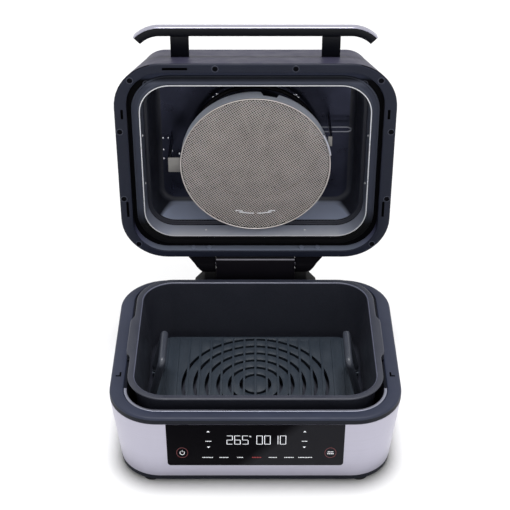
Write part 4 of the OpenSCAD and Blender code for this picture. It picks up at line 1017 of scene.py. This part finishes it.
def shade_behind_guard(liner):
    """Paints shade on the liner's hinge-side wall behind the guard, where no light reaches it, in the ledge's
    dark tone.
    """
    work = bmesh.new()
    work.from_mesh(liner.data)
    for side in (-1, 1):
        bmesh.ops.bisect_plane(work, geom=work.verts[:] + work.edges[:] + work.faces[:],
                               plane_co=(side * BEHIND_GUARD * MM, BEHIND_FROM_Y * MM, 0),
                               plane_no=(side, -BEHIND_WIDER, 0))
    below = HINGE_Z + HINGE_Y - GUARD_Y - BEHIND_BELOW
    own = list(liner.data.materials)
    for face in work.faces:
        x, y, z = face.calc_center_median() / MM
        behind = z < below and abs(x) < BEHIND_GUARD + BEHIND_WIDER * (y - BEHIND_FROM_Y)
        if behind and own[face.material_index] == LINER_WALL:
            face.material_index = own.index(LINER_LEDGE)
    work.to_mesh(liner.data)
    work.free()


# Back of the guard brackets' tabs in the open lid; behind it are their legs
BRACKET_TAB_Y = 177


def bracket_tone(face):
    return LINER_TOP_METAL if face.center.y > BRACKET_TAB_Y * MM else BRACKET_STEEL


def build_arms_and_posts():
    for side in ("left", "right"):
        refined(side + "_hinge_arm", side + "_arm_skin", 1, ARM_PLASTIC)
        refined(side + "_handle_post", side + "_post_skin", 1.6, HANDLE_PLASTIC)
        bracket = refined(side + "_guard_bracket", side + "_bracket_skin", 0.5)
        paint_faces(bracket, bracket_tone, BRACKET_STEEL, LINER_TOP_METAL)


# Probe: the course of its tube, and the ends of its block
PROBE_LOOP = ((83, -19, 206.9), (83, -19, 190), (99, -26.7, 190), (137, -26.7, 190), (145.5, -22.9, 190),
              (137, -19.1, 190), (99, -19.1, 190), (83, -11, 190), (83, -11, 206.9))
PROBE_BLOCK = ((80, -22, 204.3), (86, -8, 207.8))
PROBE_BEND_R, PROBE_TUBE_R, PROBE_BLOCK_R = 2.5, 1.3, 0.8


def probe_side(along):
    """A side of the probe's tube; no stretch of the tube runs along the vector that is used."""
    return along.cross(Vector((0.5, 0.7, 0.5)))


def build_probe():
    """A loop of thin tube that rises from its block, slants to the side and runs out to a pointed end."""
    tube = sweep(fillet(PROBE_LOOP, PROBE_BEND_R), circle(PROBE_TUBE_R, 12), probe_side)
    plate = rounded_block(*PROBE_BLOCK, PROBE_BLOCK_R)
    make("probe_skin", join(tube, plate), "lid", PROBE_STEEL, "temperature_probe")


def handle_path():
    """Middle of the handle bar, from its left end to its right end."""
    mid_y = BAR_BACK_Y - BAR_T / 2
    right = [(BAR_HALF + BAR_BEND_R * sin(a), mid_y + BAR_BEND_R * (1 - cos(a)), 0)
             for a in arc(0, BAR_BEND, BAR_BEND // 2)]
    straight = [(BAR_HALF * k / 6, mid_y, 0) for k in range(-5, 6)]
    return [(-x, y, z) for x, y, z in reversed(right)] + straight + right


def build_handle():
    half = BAR_T / 2
    front = half + 0.1
    top = BAR_Z + BAR_H
    path = handle_path()
    grip = sweep(path, rounded_plan((-half, BAR_Z), (half, top), 2.4), outwards)
    make("handle_grip_skin", grip, "lid", HANDLE_PLASTIC, "handle_bar")
    cover = sweep(path, rounded_plan((front, BAR_Z), (front + COVER_T, top), 1.1), outwards)
    make("handle_cover_skin", cover, "lid", BRIGHT_STEEL, "handle_cover")


# Splatter guard

# Steps round it, its sheet, its rolled rim, and the notch in its skirt by x
GUARD_STEPS, GUARD_T, GUARD_RIM_R, GUARD_NOTCH = 180, 1, 1.2, (9, 31)

# Clip over the rim: how far out and up, from and to which angle, and its section
CLIP_OUT, CLIP_UP, CLIP_FROM, CLIP_TO = 1, 1.2, -28, -9.5
CLIP_SECTION = rounded_plan((-1.5, -2), (1.5, 2), 0.9)

# Woven wire: distance between wires, their radius and slant, and how far they swing in radii
WIRE_PITCH, WIRE_R, WIRE_SLANT, WIRE_SWING = 3.0, 0.6, 55, 0.75

# Bright arcs of wire laid on the mesh near its lower edge, the right half
MESH_ARCS = (((2.4, 84.6), (10, 84.4), (17, 83.3), (24, 82.4)), ((19, 80.9), (24, 79.9), (29.5, 80.2)))
ARC_WIRE_R, ARC_UP = 0.9, 0.2


def cup_tone(face):
    """Painted light outside, where the sheet is bright, and painted shade inside, where it is black."""
    return BLACKED_STEEL if face.index // GUARD_STEPS == 2 else GUARD_SHEET


def build_guard():
    skirt = [[], [], [], []]
    for x, y in circle(1, GUARD_STEPS):
        notched = y < 0 and GUARD_NOTCH[0] < GUARD_R * x < GUARD_NOTCH[1]
        low = GUARD_FACE_Z + 2
        top = GUARD_FACE_Z + GUARD_RIM_R + (GUARD_SKIRT * 0.5 if notched else GUARD_SKIRT)
        inner_r = GUARD_R - GUARD_T
        for row, (r, z) in zip(skirt, ((GUARD_R, low), (GUARD_R, top), (inner_r, top), (inner_r, low))):
            row.append((r * x, GUARD_Y + r * y, z))
    cup = make("guard_cup_skin", loft(skirt, closed=True), "guard", None, "guard_cup")
    paint_faces(cup, cup_tone, GUARD_SHEET, BLACKED_STEEL)
    roll = [(GUARD_R - GUARD_T / 2 + u, v) for u, v in circle(GUARD_RIM_R, 14)]
    rim = torus(roll, (0, GUARD_Y, GUARD_FACE_Z + GUARD_RIM_R), GUARD_STEPS)
    make("guard_rim_skin", rim, "guard", GUARD_RIM)
    build_weave()
    r = GUARD_R + CLIP_OUT
    path = [(r * cos(a), GUARD_Y + r * sin(a), GUARD_FACE_Z + CLIP_UP)
            for a in arc(CLIP_FROM, CLIP_TO, 10)]
    make("guard_clip", sweep(path, CLIP_SECTION, outwards), "guard", CLIP_STEEL)
    paths = [[(x, y, GUARD_FACE_Z + ARC_UP) for x, y in arc_points] for arc_points in MESH_ARCS]
    bright_arcs = both([sweep(path, circle(ARC_WIRE_R, 10), outwards) for path in paths])
    make("guard_arcs", join(*bright_arcs), "guard", LINER_EDGE)


def build_weave():
    """Woven wire over the guard's face: each wire passes over and under those that it crosses."""
    reach, face_z, swing = GUARD_R - 2.2, GUARD_FACE_Z + 1.6, WIRE_R * WIRE_SWING
    count = int(reach / WIRE_PITCH)
    wires = []
    for across in (0, 1):
        base = radians(WIRE_SLANT) + across * pi / 2
        along, side = (cos(base), sin(base)), (-sin(base), cos(base))
        for i in range(-count, count + 1):
            off = i * WIRE_PITCH
            limit = sqrt(reach ** 2 - off ** 2)
            span = int(limit / WIRE_PITCH)
            crossings = [(j * WIRE_PITCH, swing if (i + j + across) % 2 else -swing)
                         for j in range(-span, span + 1)]
            rings = []
            for t, lift in [(-limit, 0), *crossings, (limit, 0)]:
                x, y = along[0] * t + side[0] * off, along[1] * t + side[1] * off
                rings.append([(x + side[0] * u, GUARD_Y + y + side[1] * u, face_z + lift + v)
                              for u, v in ((WIRE_R, 0), (0, WIRE_R), (-WIRE_R, 0), (0, -WIRE_R))])
            wires.append(solid(rings))
    make("guard_weave", join(*wires), "guard", GUARD_WIRE, "guard_mesh", sharp=100)


# Heads on the liner's top plate: a group on the left and one on each side of the guard's top
LINER_HEADS = ((-139, 1.7), (-131, 1.7), (-139, 21.5), (-126.3, 24), (-139, 37), (-115, 28.5),
               (-61.8, -67), (-58, -63.8), (-56.6, -72), (-51.5, -68.3),
               (52.5, -67), (55.4, -70.4), (59.8, -70.4), (62.9, -66.3), (59.9, -63.8))

# Rivet's form by radius and height, and the rivets' places on the liner's band
DOME = ((1.9, -0.4), (1.9, 0.2), (1.6, 0.8), (0.9, 1.3), (0.2, 1.45))
SIDE_RIVETS, BACK_RIVET = ((-36, 147), (46, 150)), (75, 149)

# Plug in the rim below the right hinge arm
ARM_PLUG = ((3, 0.3), (3, -0.1), (2.6, -0.4), (0.2, -0.5))
ARM_PLUG_AT = (77.3, 157.5, 124.5)


def band_lean(z):
    """How far the liner's band has come in at height z."""
    return (LINER_LIP[0] - LINER_STEP[0]) * (z - LIP_Z) / (STEP_Z - LIP_Z)


def build_fixings():
    """Screw heads and rivets that show in the lid's liner, and plugs in its rim."""
    head = [(r * 1.2, -z) for r, z in DOME]
    heads = [lathe(head, (x, y, RECESS_TOP_Z), 20) for x, y in LINER_HEADS]
    make("liner_fixings", join(*heads), "lid", LINER_HEAD_STEEL)
    verts, faces = lathe(DOME, (0, 0, 0), 20)
    rivets = []
    for y, z in SIDE_RIVETS:
        wall = LINER_LIP[0] - band_lean(z)
        rivets.append(([(wall - h, y + a, z + b) for a, b, h in verts], faces))
    x, z = BACK_RIVET
    wall = PLATE_Y + LINER_LIP[1] - band_lean(z)
    rivets.append(([(x + a, wall - h, z + b) for a, b, h in verts], faces))
    make("liner_rivets", join(*both(rivets)), "lid", LINER_EDGE)
    plugs = both([lathe(ARM_PLUG, ARM_PLUG_AT, 24)])
    make("arm_plugs", join(*plugs), "lid", HOLE_BLACK)


# CAD nodes that keep their own shape
KEPT = {
    "panel_carrier": BLACK_PLASTIC, "display_module": DISPLAY_PLASTIC, "control_board": BOARD_GREEN,
    "power_board": BOARD_GREEN, "lid_sensor": BLACK_PLASTIC, "hinge_pin": BRIGHT_STEEL,
    "base_screws": FASTENER_STEEL, "frame_screws": SCREW_BLACK, "liner_screws": FASTENER_STEEL,
    "arm_screws": ARM_SCREW_PAINTED_LIGHT, "handle_screws": FASTENER_STEEL, "heating_element": ELEMENT_METAL,
    "element_clips": BLACKED_STEEL, "motor_bracket": FASTENER_STEEL, "motor": MOTOR_METAL,
    "thermal_cutout": CERAMIC, "motor_shaft": BLACKED_STEEL, "circulation_fan": FAN_METAL,
    "fan_nut": BLACKED_STEEL, "cooling_fan": COOLING_FAN_METAL,
}


# Stage and camera

# Floor in metres, light of the sky, and the lamps: strength, and spread, tilt and turn in degrees
FLOOR_HALF, FLOOR_Z = 30, -0.0002
SKY_LIGHT = 0.3
LAMPS = (("key", 2.3, 17, -4, 0), ("fill", 0.6, 90, 55, 15))

# Camera in metres and degrees, as fitted to the photo's outlines
SENSOR, LENS, SHIFT = 36, 91.63, (-0.0008, -0.0018)
CAMERA_AT, CAMERA_DOWN = (0, -1.465, 1.2678), 34.06


def build_stage():
    """White floor that keeps the soft shadow, an even sky, and two broad lamps."""
    mesh = bpy.data.meshes.new("floor")
    s = FLOOR_HALF
    mesh.from_pydata([(-s, -s, 0), (s, -s, 0), (s, s, 0), (-s, s, 0)], [], [(0, 1, 2, 3)])
    floor = add_object("floor", mesh)
    floor.location.z = FLOOR_Z
    m = new_material("floor")
    m.tint(m.noise(2), WHITE, 0.975, 0.985)
    paint(floor, m.finish(roughness=0.9, specular=0))

    world = Nodes(bpy.data.worlds.new("studio"))
    bpy.context.scene.world = world.owner
    world.tree.nodes.clear()
    path = world.add("ShaderNodeLightPath")
    seen = world.add("ShaderNodeMath", operation="MAXIMUM")
    seen_all = world.add("ShaderNodeMath", operation="MAXIMUM")
    light = world.add("ShaderNodeBackground", Color=shade(WHITE), Strength=SKY_LIGHT)
    white = world.add("ShaderNodeBackground", Color=shade(WHITE), Strength=1)
    mix = world.add("ShaderNodeMixShader")
    out = world.add("ShaderNodeOutputWorld")
    world.link(path, "Is Camera Ray", seen, 0)
    world.link(path, "Is Glossy Ray", seen, 1)
    world.link(seen, 0, seen_all, 0)
    world.link(path, "Is Transmission Ray", seen_all, 1)
    for k, source in enumerate((seen_all, light, white)):
        world.link(source, 0, mix, k)
    world.link(mix, 0, out, "Surface")

    for name, strength, spread, tilt, turn in LAMPS:
        lamp = bpy.data.lights.new(name, "SUN")
        lamp.energy = strength
        lamp.angle = radians(spread)
        add_object(name, lamp).rotation_euler = (radians(tilt), 0, radians(turn))


def build_camera():
    data = bpy.data.cameras.new("camera")
    data.sensor_width = SENSOR
    data.lens = LENS
    data.shift_x, data.shift_y = SHIFT
    camera = add_object("camera", data)
    camera.location = CAMERA_AT
    camera.rotation_euler = (radians(90 - CAMERA_DOWN), 0, 0)
    bpy.context.scene.camera = camera


for build in (build_camera, build_stage, build_base, build_panel, build_pot, build_plate, build_lid_shell,
              build_lid_frame, build_lid_liner, build_arms_and_posts, build_probe, build_handle, build_guard,
              build_fixings):
    build()
for node, material in KEPT.items():
    paint(frame["nodes"][node], material)

bpy.context.scene.view_settings.view_transform = "Standard"
